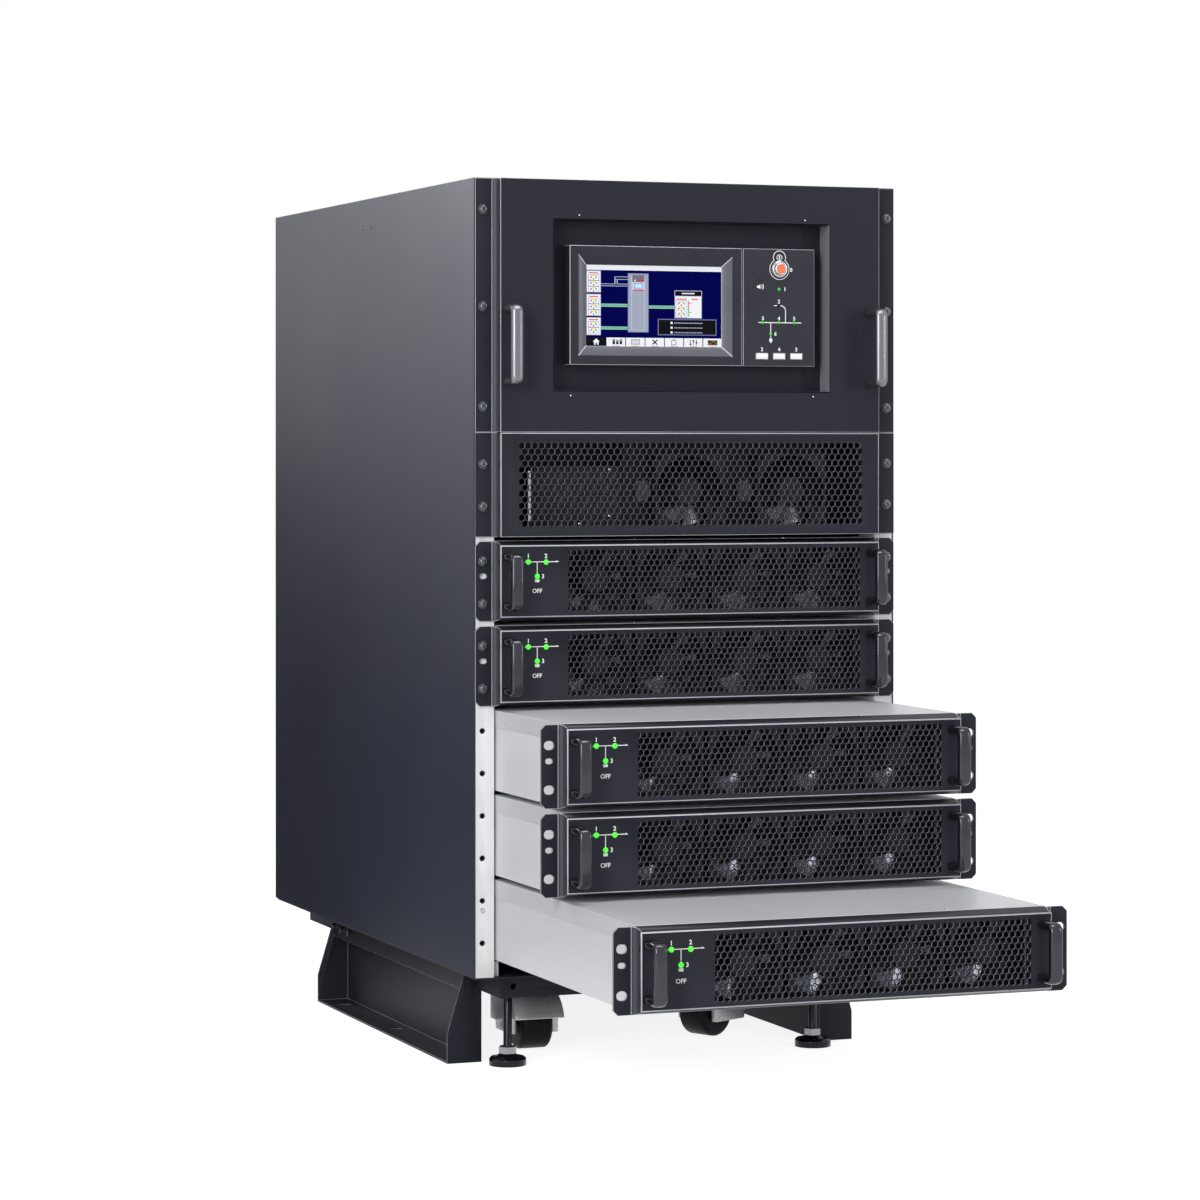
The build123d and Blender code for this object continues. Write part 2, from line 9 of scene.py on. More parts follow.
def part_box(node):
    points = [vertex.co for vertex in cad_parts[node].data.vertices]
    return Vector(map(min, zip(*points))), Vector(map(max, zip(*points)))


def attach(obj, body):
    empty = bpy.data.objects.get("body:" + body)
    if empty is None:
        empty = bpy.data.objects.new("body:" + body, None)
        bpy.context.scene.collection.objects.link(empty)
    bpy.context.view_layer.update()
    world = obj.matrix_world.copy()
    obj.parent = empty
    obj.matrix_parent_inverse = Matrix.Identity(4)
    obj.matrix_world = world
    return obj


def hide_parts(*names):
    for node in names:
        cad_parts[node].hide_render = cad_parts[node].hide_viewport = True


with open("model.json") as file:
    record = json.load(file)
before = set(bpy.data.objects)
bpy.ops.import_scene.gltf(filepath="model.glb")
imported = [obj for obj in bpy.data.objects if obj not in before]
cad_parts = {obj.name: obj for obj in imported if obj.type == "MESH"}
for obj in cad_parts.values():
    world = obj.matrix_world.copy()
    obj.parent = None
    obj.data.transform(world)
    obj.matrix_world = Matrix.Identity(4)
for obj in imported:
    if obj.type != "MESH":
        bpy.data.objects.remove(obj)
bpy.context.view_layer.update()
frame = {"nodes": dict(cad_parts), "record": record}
mm = 0.001
record = frame["record"]
bodyOf = {node: body for body, nodes in record["behaviour"]["bodies"].items() for node in nodes}
slotOf = {part["node"]: part["material_slot"] for part in record["subparts"]}

# places are given as (x, behind the ears, below the top edge) in mm, the way they are measured on a rack
rack = {"railGap": 2.5, "halfWidth": 241.3, "unit": 44.45, "boltX": 232.55, "rivetDrop": 767.5}
front = {"halfWidth": 217.8, "depth": 13.0, "wallX": 217.3, "bend": 5.6, "bendSteps": 6, "sheet": 1.5,
         "groove": 0.5, "edge": 1.1, "earThick": 2.0, "clinchBehind": 8.6,
         "seat": 0.1}  # seat keeps the ears' backs clear of the side panels
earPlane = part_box("front_rails")[0].y - rack["railGap"] * mm
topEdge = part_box("side_panel_left")[1].z
moduleNames = [f"module_{index}" for index in range(1, 6)]
keyNames = ("bypass_key", "inverter_key", "mute_key")


def spot(x, y, drop):
    return Vector((x * mm, earPlane + y * mm, topEdge - drop * mm))


def dropOf(z):
    return (topEdge - z) / mm


def moduleDrop(name):
    # the middle of a module's front, below the top edge
    low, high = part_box(f"{name}_bezel")
    return dropOf((low.z + high.z) / 2)


def pulledOut(name):
    return (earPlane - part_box(f"{name}_bezel")[1].y) / mm + front["earThick"]


firstDrop = moduleDrop("module_1")


class Wire:  # one value on its way through a node tree
    def __init__(self, tree, socket):
        self.tree = tree
        self.socket = socket

    def combine(self, operation, first, second):
        node = putNode(self.tree, "ShaderNodeMath", {"operation": operation}, {0: first, 1: second})
        return Wire(self.tree, node.outputs[0])

    def __add__(self, other):
        return self.combine("ADD", self, other)

    def __radd__(self, other):
        return self.combine("ADD", other, self)

    def __sub__(self, other):
        return self.combine("SUBTRACT", self, other)

    def __rsub__(self, other):
        return self.combine("SUBTRACT", other, self)

    def __mul__(self, other):
        return self.combine("MULTIPLY", self, other)

    def __rmul__(self, other):
        return self.combine("MULTIPLY", other, self)

    def clamped(self):
        node = putNode(self.tree, "ShaderNodeClamp", sockets={0: self})
        return Wire(self.tree, node.outputs[0])


def putNode(tree, kind, settings=None, sockets=None):
    node = tree.nodes.new(kind)
    for key, value in (settings or {}).items():
        setattr(node, key, value)
    for key, value in (sockets or {}).items():
        value = value.socket if isinstance(value, Wire) else value
        if isinstance(value, bpy.types.NodeSocket):
            tree.links.new(value, node.inputs[key])
        else:
            node.inputs[key].default_value = value
    return node


class Look:  # a material being made, with its patterns on Object coordinates
    def __init__(self, name, **constants):
        self.material = bpy.data.materials.new(name)
        self.material.use_nodes = True
        self.tree = self.material.node_tree
        self.shader = self.tree.nodes["Principled BSDF"]
        self.place = self.add("ShaderNodeTexCoord", output="Object")
        for key, value in constants.items():
            self.shader.inputs[key.replace("_", " ")].default_value = value

    def add(self, kind, settings=None, sockets=None, output=0):
        return Wire(self.tree, putNode(self.tree, kind, settings, sockets).outputs[output])

    def noise(self, scale, detail=2.0, roughness=0.5, stretch=None):
        vector = self.place
        if stretch:
            vector = self.add("ShaderNodeMapping", None, {"Vector": vector, "Scale": stretch})
        return self.add("ShaderNodeTexNoise", None,
                        {"Vector": vector, "Scale": scale, "Detail": detail, "Roughness": roughness})

    def between(self, factor, first, second):
        return self.add("ShaderNodeMix", {"data_type": "RGBA"},
                        {"Factor": factor, 6: (*first, 1), 7: (*second, 1)}, 2)

    def feed(self, **links):
        for key, value in links.items():
            self.tree.links.new(value.socket, self.shader.inputs[key.replace("_", " ")])

    def bump(self, height, strength, distance):
        self.feed(Normal=self.add("ShaderNodeBump", None,
                                  {"Height": height, "Strength": strength, "Distance": distance}))


def powderCoat(name, dark, light, rough, grain=1400.0, peel=0.22, gloss=0.3):
    # satin powder coat: fine orange peel, faint clouds and a gloss that varies a little
    look = Look(name, Specular_IOR_Level=gloss, Specular_Tint=(0.78, 0.83, 1.0, 1.0))
    cloud = look.noise(6.0, 3.0)
    speck = look.noise(grain, 2.0, 0.6)
    look.feed(Base_Color=look.between((cloud * 0.8 + speck * 0.5 - 0.15).clamped(), dark, light),
              Roughness=cloud * 0.08 + speck * 0.06 + (rough - 0.07))
    look.bump(speck, peel, 0.00006)
    return look.material


def coatedSheet(name, dark, light, rough):
    # coated steel sheet with a faint rolled grain that runs from front to rear
    look = Look(name, Specular_IOR_Level=0.45)
    grain = look.noise(320.0, 3.0, 0.6, (1.0, 0.03, 1.0))
    cloud = look.noise(8.0, 2.0)
    speck = look.noise(1600.0, 1.0)
    look.feed(Base_Color=look.between((grain * 0.5 + cloud * 0.6 - 0.05).clamped(), dark, light),
              Metallic=cloud * 0.1 + 0.1, Roughness=grain * 0.12 + cloud * 0.08 + (rough - 0.1))
    look.bump(grain + speck * 0.5, 0.07, 0.00005)
    return look.material


def metalFinish(name, dark, light, rough, metallic=0.95, stretch=(1.0, 1.0, 0.05)):
    # fine drawn grain along the piece under an anodised, plated or black-oxide finish
    look = Look(name)
    grain = look.noise(900.0, 2.0, 0.6, stretch)
    cloud = look.noise(14.0, 2.0)
    look.feed(Base_Color=look.between((grain * 0.6 + cloud * 0.5 - 0.05).clamped(), dark, light),
              Metallic=cloud * 0.04 + (metallic - 0.04), Roughness=grain * 0.1 + cloud * 0.06 + (rough - 0.06))
    look.bump(grain, 0.05, 0.00003)
    return look.material


def moulded(name, dark, light, rough, grain=2000.0, gloss=0.4, peel=0.15, density=1.5):
    # injection-moulded plastic or rubber with a fine spark-eroded texture
    look = Look(name, Specular_IOR_Level=gloss, IOR=density, Specular_Tint=(0.82, 0.86, 1.0, 1.0))
    speck = look.noise(grain, 2.0)
    cloud = look.noise(28.0, 2.0)
    look.feed(Base_Color=look.between(cloud, dark, light),
              Roughness=speck * 0.1 + cloud * 0.06 + (rough - 0.08))
    look.bump(speck, peel, 0.00004)
    return look.material


def litLens(name, edge, core, strength):
    # a small diffusing lens: brighter in patches, as a lamp behind it shows through
    look = Look(name, Roughness=0.2, Emission_Strength=strength)
    glow = look.between(look.noise(420.0, 1.0), edge, core)
    look.feed(Base_Color=glow, Emission_Color=glow)
    return look.material


def printedInk(name, thin, full, rough=0.5):
    look = Look(name, Roughness=rough, Specular_IOR_Level=0.3)
    look.feed(Base_Color=look.between(look.noise(1500.0, 3.0, 0.7), thin, full))
    return look.material


def displayPicture():
    # the lit picture takes its colours from the piece's own attribute, under a faint grid of pixels
    look = Look("displayPicture", Roughness=0.28, Specular_IOR_Level=0.03, Emission_Strength=0.4)
    ink = look.add("ShaderNodeAttribute", {"attribute_name": "picture"}, output="Color")
    finer = look.add("ShaderNodeVectorMath", {"operation": "SCALE"}, {0: look.place, "Scale": 8000.0})
    waves = look.add("ShaderNodeVectorMath", {"operation": "SINE"}, {0: finer})
    axes = putNode(look.tree, "ShaderNodeSeparateXYZ", None, {0: waves})
    shade = Wire(look.tree, axes.outputs["X"]) * Wire(look.tree, axes.outputs["Z"]) * 0.04 + 0.96
    shown = look.add("ShaderNodeVectorMath", {"operation": "SCALE"}, {0: ink, "Scale": shade})
    look.feed(Base_Color=shown, Emission_Color=shown)
    return look.material


print("materials")
finish = {
    "side": powderCoat("sidePaint", (0.010, 0.0115, 0.022), (0.015, 0.0165, 0.031), 0.50, gloss=0.36),
    "front": powderCoat("frontPaint", (0.012, 0.0125, 0.018), (0.018, 0.0185, 0.025), 0.50, gloss=0.2),
    # a lighter paint for the bends and side walls of the folded fronts, painted light
    "fold": powderCoat("foldPaintedLight", (0.034, 0.035, 0.043), (0.050, 0.051, 0.060), 0.42, gloss=0.35),
    # a light paint for the recess's right-hand wall, painted light
    "niche": powderCoat("nichePaintedLight", (0.17, 0.173, 0.195), (0.22, 0.223, 0.245), 0.40, gloss=0.5),
    # a light paint for rounded edges, a painted highlight
    "edge": powderCoat("edgePaintedHighlight", (0.42, 0.423, 0.445), (0.56, 0.563, 0.585), 0.30, gloss=0.8),
    # a lighter paint for the left-facing walls of the grille holes, a painted highlight
    "rim": powderCoat("grilleWallPaintedHighlight", (0.26, 0.263, 0.285), (0.36, 0.363, 0.385), 0.36, gloss=0.5),
    "grille": powderCoat("grillePaint", (0.012, 0.0125, 0.018), (0.019, 0.0195, 0.026), 0.46, gloss=0.22),
    # a lighter finish for three of the display's slopes, painted light
    "slope": moulded("screenSlopePaintedLight", (0.085, 0.087, 0.10), (0.115, 0.117, 0.132), 0.34, gloss=0.5),
    "base": powderCoat("basePaint", (0.009, 0.0095, 0.014), (0.014, 0.0145, 0.020), 0.50, gloss=0.22),
    "rail": powderCoat("railPaint", (0.72, 0.72, 0.73), (0.79, 0.79, 0.80), 0.45, 1200.0, 0.15, 0.4),
    "case": coatedSheet("caseSheet", (0.58, 0.58, 0.61), (0.68, 0.68, 0.71), 0.42),
    # the lids' sheet is a little darker than the case's, painted shade on the module tops
    "lid": coatedSheet("lidSheetPaintedShade", (0.52, 0.53, 0.56), (0.61, 0.62, 0.65), 0.40),
    "handle": metalFinish("handleAnodised", (0.040, 0.041, 0.050), (0.062, 0.063, 0.074), 0.11, 0.88),
    "pull": metalFinish("panelHandleAnodised", (0.16, 0.16, 0.178), (0.22, 0.22, 0.242), 0.30, 0.92),
    "bolt": metalFinish("blackBolt", (0.075, 0.075, 0.085), (0.13, 0.13, 0.145), 0.24, 0.85, (1.0, 1.0, 1.0)),
    "bright": metalFinish("brightScrew", (0.45, 0.45, 0.47), (0.64, 0.64, 0.67), 0.24),
    "plated": metalFinish("platedNut", (0.24, 0.24, 0.26), (0.36, 0.36, 0.39), 0.22, 0.9, (1.0, 1.0, 1.0)),
    "housing": moulded("displayHousing", (0.014, 0.0145, 0.020), (0.021, 0.0215, 0.028), 0.38, gloss=0.3),
    "plate": moulded("controlPlate", (0.016, 0.0165, 0.023), (0.024, 0.0245, 0.032), 0.38, gloss=0.3),
    "fan": moulded("fanPlastic", (0.006, 0.006, 0.008), (0.011, 0.011, 0.014), 0.26, gloss=0.28, peel=0.06),
    # the blades are a lighter tone than the hub and frame of the same plastic, painted light
    "blade": moulded("bladePlasticPaintedLight", (0.030, 0.030, 0.034), (0.045, 0.045, 0.050), 0.13, gloss=1.0, peel=0.01,
                     density=1.95),
    "hub": moulded("hubPlastic", (0.010, 0.010, 0.013), (0.017, 0.017, 0.021), 0.36, gloss=0.25),
    "inner": powderCoat("innerSheet", (0.012, 0.012, 0.017), (0.024, 0.024, 0.031), 0.5, gloss=0.3),
    "socket": moulded("wirePlug", (0.05, 0.055, 0.065), (0.085, 0.09, 0.10), 0.45),
    "hood": metalFinish("casterHood", (0.62, 0.625, 0.64), (0.74, 0.745, 0.76), 0.26, 0.4, (1.0, 1.0, 1.0)),
    "tyre": moulded("casterTread", (0.004, 0.004, 0.005), (0.007, 0.007, 0.008), 0.42, gloss=0.12),
    "pad": moulded("footPad", (0.004, 0.004, 0.006), (0.008, 0.008, 0.010), 0.16, gloss=0.3, peel=0.05),
    "green": litLens("greenLamp", (0.03, 0.62, 0.02), (0.10, 0.95, 0.05), 0.75),
    "dimGreen": litLens("dimGreenLamp", (0.03, 0.34, 0.03), (0.07, 0.52, 0.06), 0.25),
    "stop": litLens("stopButton", (0.78, 0.075, 0.02), (0.95, 0.20, 0.08), 0.25),
    "key": moulded("whiteKey", (0.82, 0.82, 0.83), (0.89, 0.89, 0.90), 0.35),
    "ink": printedInk("whiteInk", (0.84, 0.84, 0.86), (0.95, 0.95, 0.96)),
    # near black: the unlit bypass lamp's own colour, and painted shade for the buzzer holes and the hole beside OFF
    "pit": printedInk("darkLampAndPaintedHoleShade", (0.003, 0.003, 0.004), (0.007, 0.007, 0.009), 0.7),
    "glass": moulded("displayGlass", (0.008, 0.008, 0.011), (0.012, 0.012, 0.016), 0.12, peel=0.0),
    "picture": displayPicture(),
}


def newPiece(name, mesh, body, material=None, replaces=()):
    piece = bpy.data.objects.new(name, mesh)
    bpy.context.scene.collection.objects.link(piece)
    if material is not None:
        if mesh.materials:
            mesh.materials.clear()
        mesh.materials.append(material)
    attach(piece, body)
    if replaces:
        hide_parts(*replaces)
    return piece


def flatten(piece):
    # the evaluated shape becomes a plain mesh, with no modifier left
    bpy.context.view_layer.update()
    graph = bpy.context.evaluated_depsgraph_get()
    mesh = bpy.data.meshes.new_from_object(piece.evaluated_get(graph))
    piece.modifiers.clear()
    old, piece.data = piece.data, mesh
    bpy.data.meshes.remove(old)
    return piece


def meshFrom(build, name, *values):
    mesh = bpy.data.meshes.new(name)
    bm = bmesh.new()
    build(bm, *values)
    bm.to_mesh(mesh)
    bm.free()
    return mesh


def made(name, build, body, look, *values, replaces=(), slot=None):
    # a piece from one of the functions that fill a bmesh
    return newPiece(name, meshFrom(build, name, *values), body, finish[look], replaces)


def sharpEdges(mesh, angle, skip):
    # gives a weight to the sharp edges of the foremost plane, outside a region of (x, x, drop, drop)
    bm = bmesh.new()
    bm.from_mesh(mesh)
    bm.normal_update()
    (x0, x1, d0, d1), near = skip, 0.1
    foremost = min(vert.co.y for vert in bm.verts) + near * mm
    weights = mesh.attributes.new("bevel_weight_edge", "FLOAT", "EDGE")
    for edge in bm.edges:
        places = [(vert.co.x / mm, dropOf(vert.co.z)) for vert in edge.verts]
        within = all(x0 - near < px < x1 + near and d0 - near < pz < d1 + near for px, pz in places)
        sharp = len(edge.link_faces) == 2 and edge.calc_face_angle() > radians(angle)
        ahead = all(vert.co.y < foremost for vert in edge.verts)
        weights.data[edge.index].value = float(sharp and ahead and not within)
    bm.free()


def ease(piece, width, segments=2, angle=32.0, edge=None, skip=None):
    # rounds the edges so that they catch the light, with flat faces kept flat; where edge is given, the rounded faces
    # take that lighter finish, a painted highlight
    piece.data.shade_smooth()
    modifier = piece.modifiers.new("ease", "BEVEL")
    modifier.width = width * mm
    modifier.segments = segments
    if skip:
        sharpEdges(piece.data, angle, skip)
        modifier.limit_method = "WEIGHT"
    else:
        modifier.limit_method = "ANGLE"
        modifier.angle_limit = radians(angle)
    if edge:
        piece.data.materials.append(finish[edge])
        modifier.material = len(piece.data.materials) - 1
    modifier.harden_normals = True
    modifier.miter_outer = "MITER_ARC"
    return flatten(piece)


def thicken(piece, thickness):
    modifier = piece.modifiers.new("sheet", "SOLIDIFY")
    modifier.thickness = thickness * mm
    modifier.offset = -1.0
    modifier.use_even_offset = True
    return flatten(piece)


def smooth(mesh, angle=40.0):
    mesh.shade_smooth()
    mesh.set_sharp_from_angle(angle=radians(angle))


def dress(node, look, width=0.5, segments=2, edge=None):
    # a CAD node's own shape with eased edges and a finish, standing for the node
    mesh = frame["nodes"][node].data.copy()
    bm = bmesh.new()
    bm.from_mesh(mesh)
    bmesh.ops.remove_doubles(bm, verts=bm.verts, dist=0.00001)
    bmesh.ops.dissolve_limit(bm, angle_limit=radians(0.5), verts=bm.verts, edges=bm.edges)
    bm.to_mesh(mesh)
    bm.free()
    piece = newPiece(f"{node}_dressed", mesh, bodyOf[node], finish[look], [node])
    if width:
        ease(piece, width, segments, edge=edge)
    else:
        smooth(piece.data)
    return piece


def addCorners(bm, low, high, place=None):
    corners = [Vector((x, y, z)) for x in (low[0], high[0]) for y in (low[1], high[1]) for z in (low[2], high[2])]
    verts = [bm.verts.new(place @ corner if place else corner) for corner in corners]
    for quad in ((0, 1, 3, 2), (4, 6, 7, 5), (0, 4, 5, 1), (2, 3, 7, 6), (0, 2, 6, 4), (1, 5, 7, 3)):
        bm.faces.new([verts[i] for i in quad])


def addSpan(bm, x, y, drop):
    # a box from its spans in x, behind the ears and below the top
    addCorners(bm, spot(x[0], y[0], drop[1]), spot(x[1], y[1], drop[0]))


def fillLoops(bm, loops):
    edges = []
    for verts in loops:
        edges += [bm.edges.new((verts[i], verts[(i + 1) % len(verts)])) for i in range(len(verts))]
    filled = bmesh.ops.triangle_fill(bm, use_beauty=True, edges=edges, normal=(0, -1, 0))
    return [item for item in filled["geom"] if isinstance(item, bmesh.types.BMFace)], edges


def addPlate(bm, outline, holes, y, thickness):
    # a flat closed plate that faces the front, from loops of (x, drop); y is its face, and it runs back from there
    loops = [[bm.verts.new(spot(px, y, pz)) for px, pz in loop] for loop in [outline, *holes]]
    faces, edges = fillLoops(bm, loops)
    for face in faces:
        face.normal_update()
        if face.normal.y > 0:
            face.normal_flip()
    corners = [vert for verts in loops for vert in verts]
    inner = list({edge for face in faces for edge in face.edges})
    back = bmesh.ops.duplicate(bm, geom=corners + inner + faces)
    pair = back["vert_map"]
    for vert in corners:
        pair[vert].co.y += thickness * mm
    for item in back["geom"]:
        if isinstance(item, bmesh.types.BMFace):
            item.normal_flip()
    for edge in edges:
        loop = edge.link_loops[0]
        first = loop.vert
        second = edge.other_vert(first)
        bm.faces.new((second, first, pair[first], pair[second]))


def ringLoop(x, drop, radius, count=16):
    return [(x + radius * cos(2 * pi * i / count), drop + radius * sin(2 * pi * i / count)) for i in range(count)]


def slotLoop(x, drop, length, height, count=8):
    radius = min(length, height) / 2
    alongX, alongZ = max(length - height, 0) / 2, max(height - length, 0) / 2
    loop = []
    for corner, (sx, sz) in enumerate(((1, 1), (-1, 1), (-1, -1), (1, -1))):
        for i in range(count // 2 + 1):
            a = (corner + i / (count // 2)) * pi / 2
            point = (round(x + sx * alongX + radius * cos(a), 4), round(drop + sz * alongZ + radius * sin(a), 4))
            if point not in loop:
                loop.append(point)
    return loop


def boxLoop(x0, x1, d0, d1):
    return [(x0, d0), (x1, d0), (x1, d1), (x0, d1)]


def addTurned(bm, profile, centre=Vector(), count=24, tags=None):
    # a closed turned shape from (radius, height) pairs, its height towards the front
    rings = []
    for radius, height in profile:
        sides = count if radius else 1
        rings.append([bm.verts.new(centre + Vector((radius * cos(2 * pi * i / count), -height,
                                                    radius * sin(2 * pi * i / count))) * mm) for i in range(sides)])
    if profile[0] == profile[-1]:
        for vert in rings[-1]:
            bm.verts.remove(vert)
        rings[-1] = rings[0]
    faces = []
    for step, (lower, upper) in enumerate(zip(rings, rings[1:])):
        for i in range(count):
            corners = []
            for ring, place in ((lower, i), (lower, i + 1), (upper, i + 1), (upper, i)):
                vert = ring[place % len(ring)]
                if vert not in corners:
                    corners.append(vert)
            face = bm.faces.new(corners)
            face.material_index = tags[step] if tags else 0
            faces.append(face)
    bmesh.ops.recalc_face_normals(bm, faces=faces)


def addInk(bm, loop, y, holes=(), thickness=0.06):
    # a printed mark, very slightly proud of the surface at y
    addPlate(bm, loop, holes, y - thickness, thickness)


def addStroke(bm, path, width, y):
    # a printed line of even width along a path of (x, drop)
    left, right = [], []
    for i, (px, pz) in enumerate(path):
        ax, az = path[max(i - 1, 0)]
        bx, bz = path[min(i + 1, len(path) - 1)]
        length = sqrt((bx - ax) ** 2 + (bz - az) ** 2)
        nx, nz = -(bz - az) / length * width / 2, (bx - ax) / length * width / 2
        left.append((px + nx, pz + nz))
        right.append((px - nx, pz - nz))
    addInk(bm, left + right[::-1], y)


letters = {"raised": 0.03, "bolder": 0.13, "smoothness": 3}


def addLetters(bm, words, x, drop, size, y):
    # plain numbers, and OFF beside its switch; the text is a mesh before it is placed
    curve = bpy.data.curves.new("letters", "FONT")
    curve.body = words
    curve.size = size * mm
    curve.align_x = "CENTER"
    curve.align_y = "CENTER"
    curve.extrude = letters["raised"] * mm
    curve.offset = letters["bolder"] * mm
    curve.resolution_u = letters["smoothness"]
    holder = bpy.data.objects.new("letters", curve)
    bpy.context.scene.collection.objects.link(holder)
    bpy.context.view_layer.update()
    mesh = bpy.data.meshes.new_from_object(holder.evaluated_get(bpy.context.evaluated_depsgraph_get()))
    mesh.transform(Matrix.Translation(spot(x, y - letters["raised"], drop)) @ Matrix.Rotation(pi / 2, 4, "X"))
    bm.from_mesh(mesh)
    bpy.data.objects.remove(holder)
    bpy.data.curves.remove(curve)
    bpy.data.meshes.remove(mesh)


def startTree(name, inputs):
    tree = bpy.data.node_groups.new(name, "GeometryNodeTree")
    for label, kind in inputs:
        tree.interface.new_socket(label, in_out="INPUT", socket_type=kind)
    tree.interface.new_socket("Geometry", in_out="OUTPUT", socket_type="NodeSocketGeometry")
    return tree, putNode(tree, "NodeGroupInput").outputs


def endTree(tree, geometry, material, chosen=True):
    realized = putNode(tree, "GeometryNodeRealizeInstances", None, {0: geometry})
    painted = putNode(tree, "GeometryNodeSetMaterial", None,
                      {"Geometry": realized.outputs[0], "Selection": chosen, "Material": material})
    putNode(tree, "NodeGroupOutput", None, {"Geometry": painted.outputs[0]})
    return tree


def runTree(name, tree, values, mesh=None):
    # evaluates a tree once and returns the result as a plain mesh
    holder = bpy.data.objects.new(name, mesh or bpy.data.meshes.new(name))
    bpy.context.scene.collection.objects.link(holder)
    modifier = holder.modifiers.new("nodes", "NODES")
    modifier.node_group = tree
    for item in tree.interface.items_tree:
        if item.in_out == "INPUT" and item.name in values:
            modifier[item.identifier] = values[item.name]
    bpy.context.view_layer.update()
    graph = bpy.context.evaluated_depsgraph_get()
    result = bpy.data.meshes.new_from_object(holder.evaluated_get(graph))
    bpy.data.objects.remove(holder)
    return result


def honeycombTree(name, material, rim):
    # a sheet with offset rows of six-sided holes, cut square at its sides and stood up to face the front;
    # the walls of its holes that face left take a lighter finish, a painted highlight
    lengths = ("Width", "Height", "Pitch", "Row Pitch", "Hole", "Thickness", "Start X", "Start Z")
    tree, pick = startTree(name, [(label, "NodeSocketFloat") for label in lengths]
                           + [("Columns", "NodeSocketInt"), ("Rows", "NodeSocketInt")])

    def calc(operation, first, second=0.0):
        return putNode(tree, "ShaderNodeMath", {"operation": operation}, {0: first, 1: second}).outputs[0]

    def joined(*parts):
        node = putNode(tree, "GeometryNodeJoinGeometry")
        for part in parts:
            tree.links.new(part, node.inputs[0])
        return node.outputs[0]

    total = calc("MULTIPLY", pick["Columns"], pick["Rows"])
    line = putNode(tree, "GeometryNodeMeshLine", None, {"Count": total, "Offset": (0.0, 0.0, 0.0)})
    index = putNode(tree, "GeometryNodeInputIndex").outputs[0]
    row = calc("FLOOR", calc("DIVIDE", index, pick["Columns"]))
    column = calc("SUBTRACT", index, calc("MULTIPLY", row, pick["Columns"]))
    along = calc("MULTIPLY", calc("ADD", column, calc("MULTIPLY", calc("MODULO", row, 2.0), 0.5)), pick["Pitch"])
    place = putNode(tree, "ShaderNodeCombineXYZ", None,
                    {0: calc("ADD", along, pick["Start X"]),
                     1: calc("SUBTRACT", pick["Start Z"], calc("MULTIPLY", row, pick["Row Pitch"]))})
    points = putNode(tree, "GeometryNodeSetPosition", None, {"Geometry": line.outputs[0], "Position": place.outputs[0]})
    ring = putNode(tree, "GeometryNodeCurvePrimitiveCircle", {"mode": "RADIUS"},
                   {"Resolution": 6, "Radius": calc("MULTIPLY", pick["Hole"], 1 / sqrt(3))})
    turned = putNode(tree, "GeometryNodeTransform", None,
                     {"Geometry": ring.outputs[0], "Rotation": (0.0, 0.0, radians(90.0))})
    holes = putNode(tree, "GeometryNodeInstanceOnPoints", None,
                    {"Points": points.outputs[0], "Instance": turned.outputs[0]})
    cut = putNode(tree, "GeometryNodeRealizeInstances", None, {0: holes.outputs[0]})
    edge = putNode(tree, "GeometryNodeCurvePrimitiveQuadrilateral", {"mode": "RECTANGLE"},
                   {"Width": pick["Width"], "Height": pick["Height"]})
    filled = putNode(tree, "GeometryNodeFillCurve", None, {"Curve": joined(edge.outputs[0], cut.outputs[0])})
    where = putNode(tree, "ShaderNodeSeparateXYZ", None, {0: putNode(tree, "GeometryNodeInputPosition").outputs[0]})
    outside = calc("GREATER_THAN", calc("ABSOLUTE", where.outputs[0]), calc("MULTIPLY", pick["Width"], 0.5))
    kept = putNode(tree, "GeometryNodeDeleteGeometry", {"domain": "FACE"},
                   {"Geometry": filled.outputs[0], "Selection": outside})
    stood = putNode(tree, "GeometryNodeTransform", None,
                    {"Geometry": kept.outputs[0], "Rotation": (radians(90.0), 0.0, 0.0)})
    raised = putNode(tree, "GeometryNodeExtrudeMesh", {"mode": "FACES"},
                     {"Mesh": stood.outputs[0], "Offset": (0.0, -1.0, 0.0), "Offset Scale": pick["Thickness"],
                      "Individual": False})
    rear = putNode(tree, "GeometryNodeFlipFaces", None, {0: stood.outputs[0]})
    merged = putNode(tree, "GeometryNodeMergeByDistance", None,
                     {"Geometry": joined(raised.outputs[0], rear.outputs[0]), "Distance": 0.000005})
    sheet = putNode(tree, "GeometryNodeSetMaterial", None, {"Geometry": merged.outputs[0], "Material": material})
    turned = putNode(tree, "ShaderNodeSeparateXYZ", None, {0: putNode(tree, "GeometryNodeInputNormal").outputs[0]})
    # the left-facing hole walls are picked out for the lighter finish, a painted highlight
    lit = calc("MULTIPLY", raised.outputs["Side"], calc("LESS_THAN", turned.outputs[0], -0.4))
    return endTree(tree, sheet.outputs[0], rim, lit)


def scatterTree(name, material):
    # copies of one small shape on the points of the mesh, each turned about the way it faces
    tree, pick = startTree(name, [("Points", "NodeSocketGeometry"), ("Shape", "NodeSocketObject"),
                                  ("Scale", "NodeSocketFloat")])
    shape = putNode(tree, "GeometryNodeObjectInfo", None, {"Object": pick["Shape"]})
    turn = putNode(tree, "GeometryNodeInputNamedAttribute", {"data_type": "FLOAT_VECTOR"}, {"Name": "turn"})
    copies = putNode(tree, "GeometryNodeInstanceOnPoints", None,
                     {"Points": pick["Points"], "Instance": shape.outputs["Geometry"],
                      "Rotation": turn.outputs["Attribute"], "Scale": pick["Scale"]})
    return endTree(tree, copies.outputs[0], material)


facing = {"front": (0, 0), "left": (0, -pi / 2), "right": (0, pi / 2), "rear": (0, pi), "up": (-pi / 2, 0)}
trees = {}
templates = {}


def template(name, build):
    # a small shape at the origin, facing the front; scatter copies it, and it is taken out before the end
    shape = bpy.data.objects.new(name, meshFrom(build, name))
    bpy.context.scene.collection.objects.link(shape)
    templates[name] = shape
    return shape


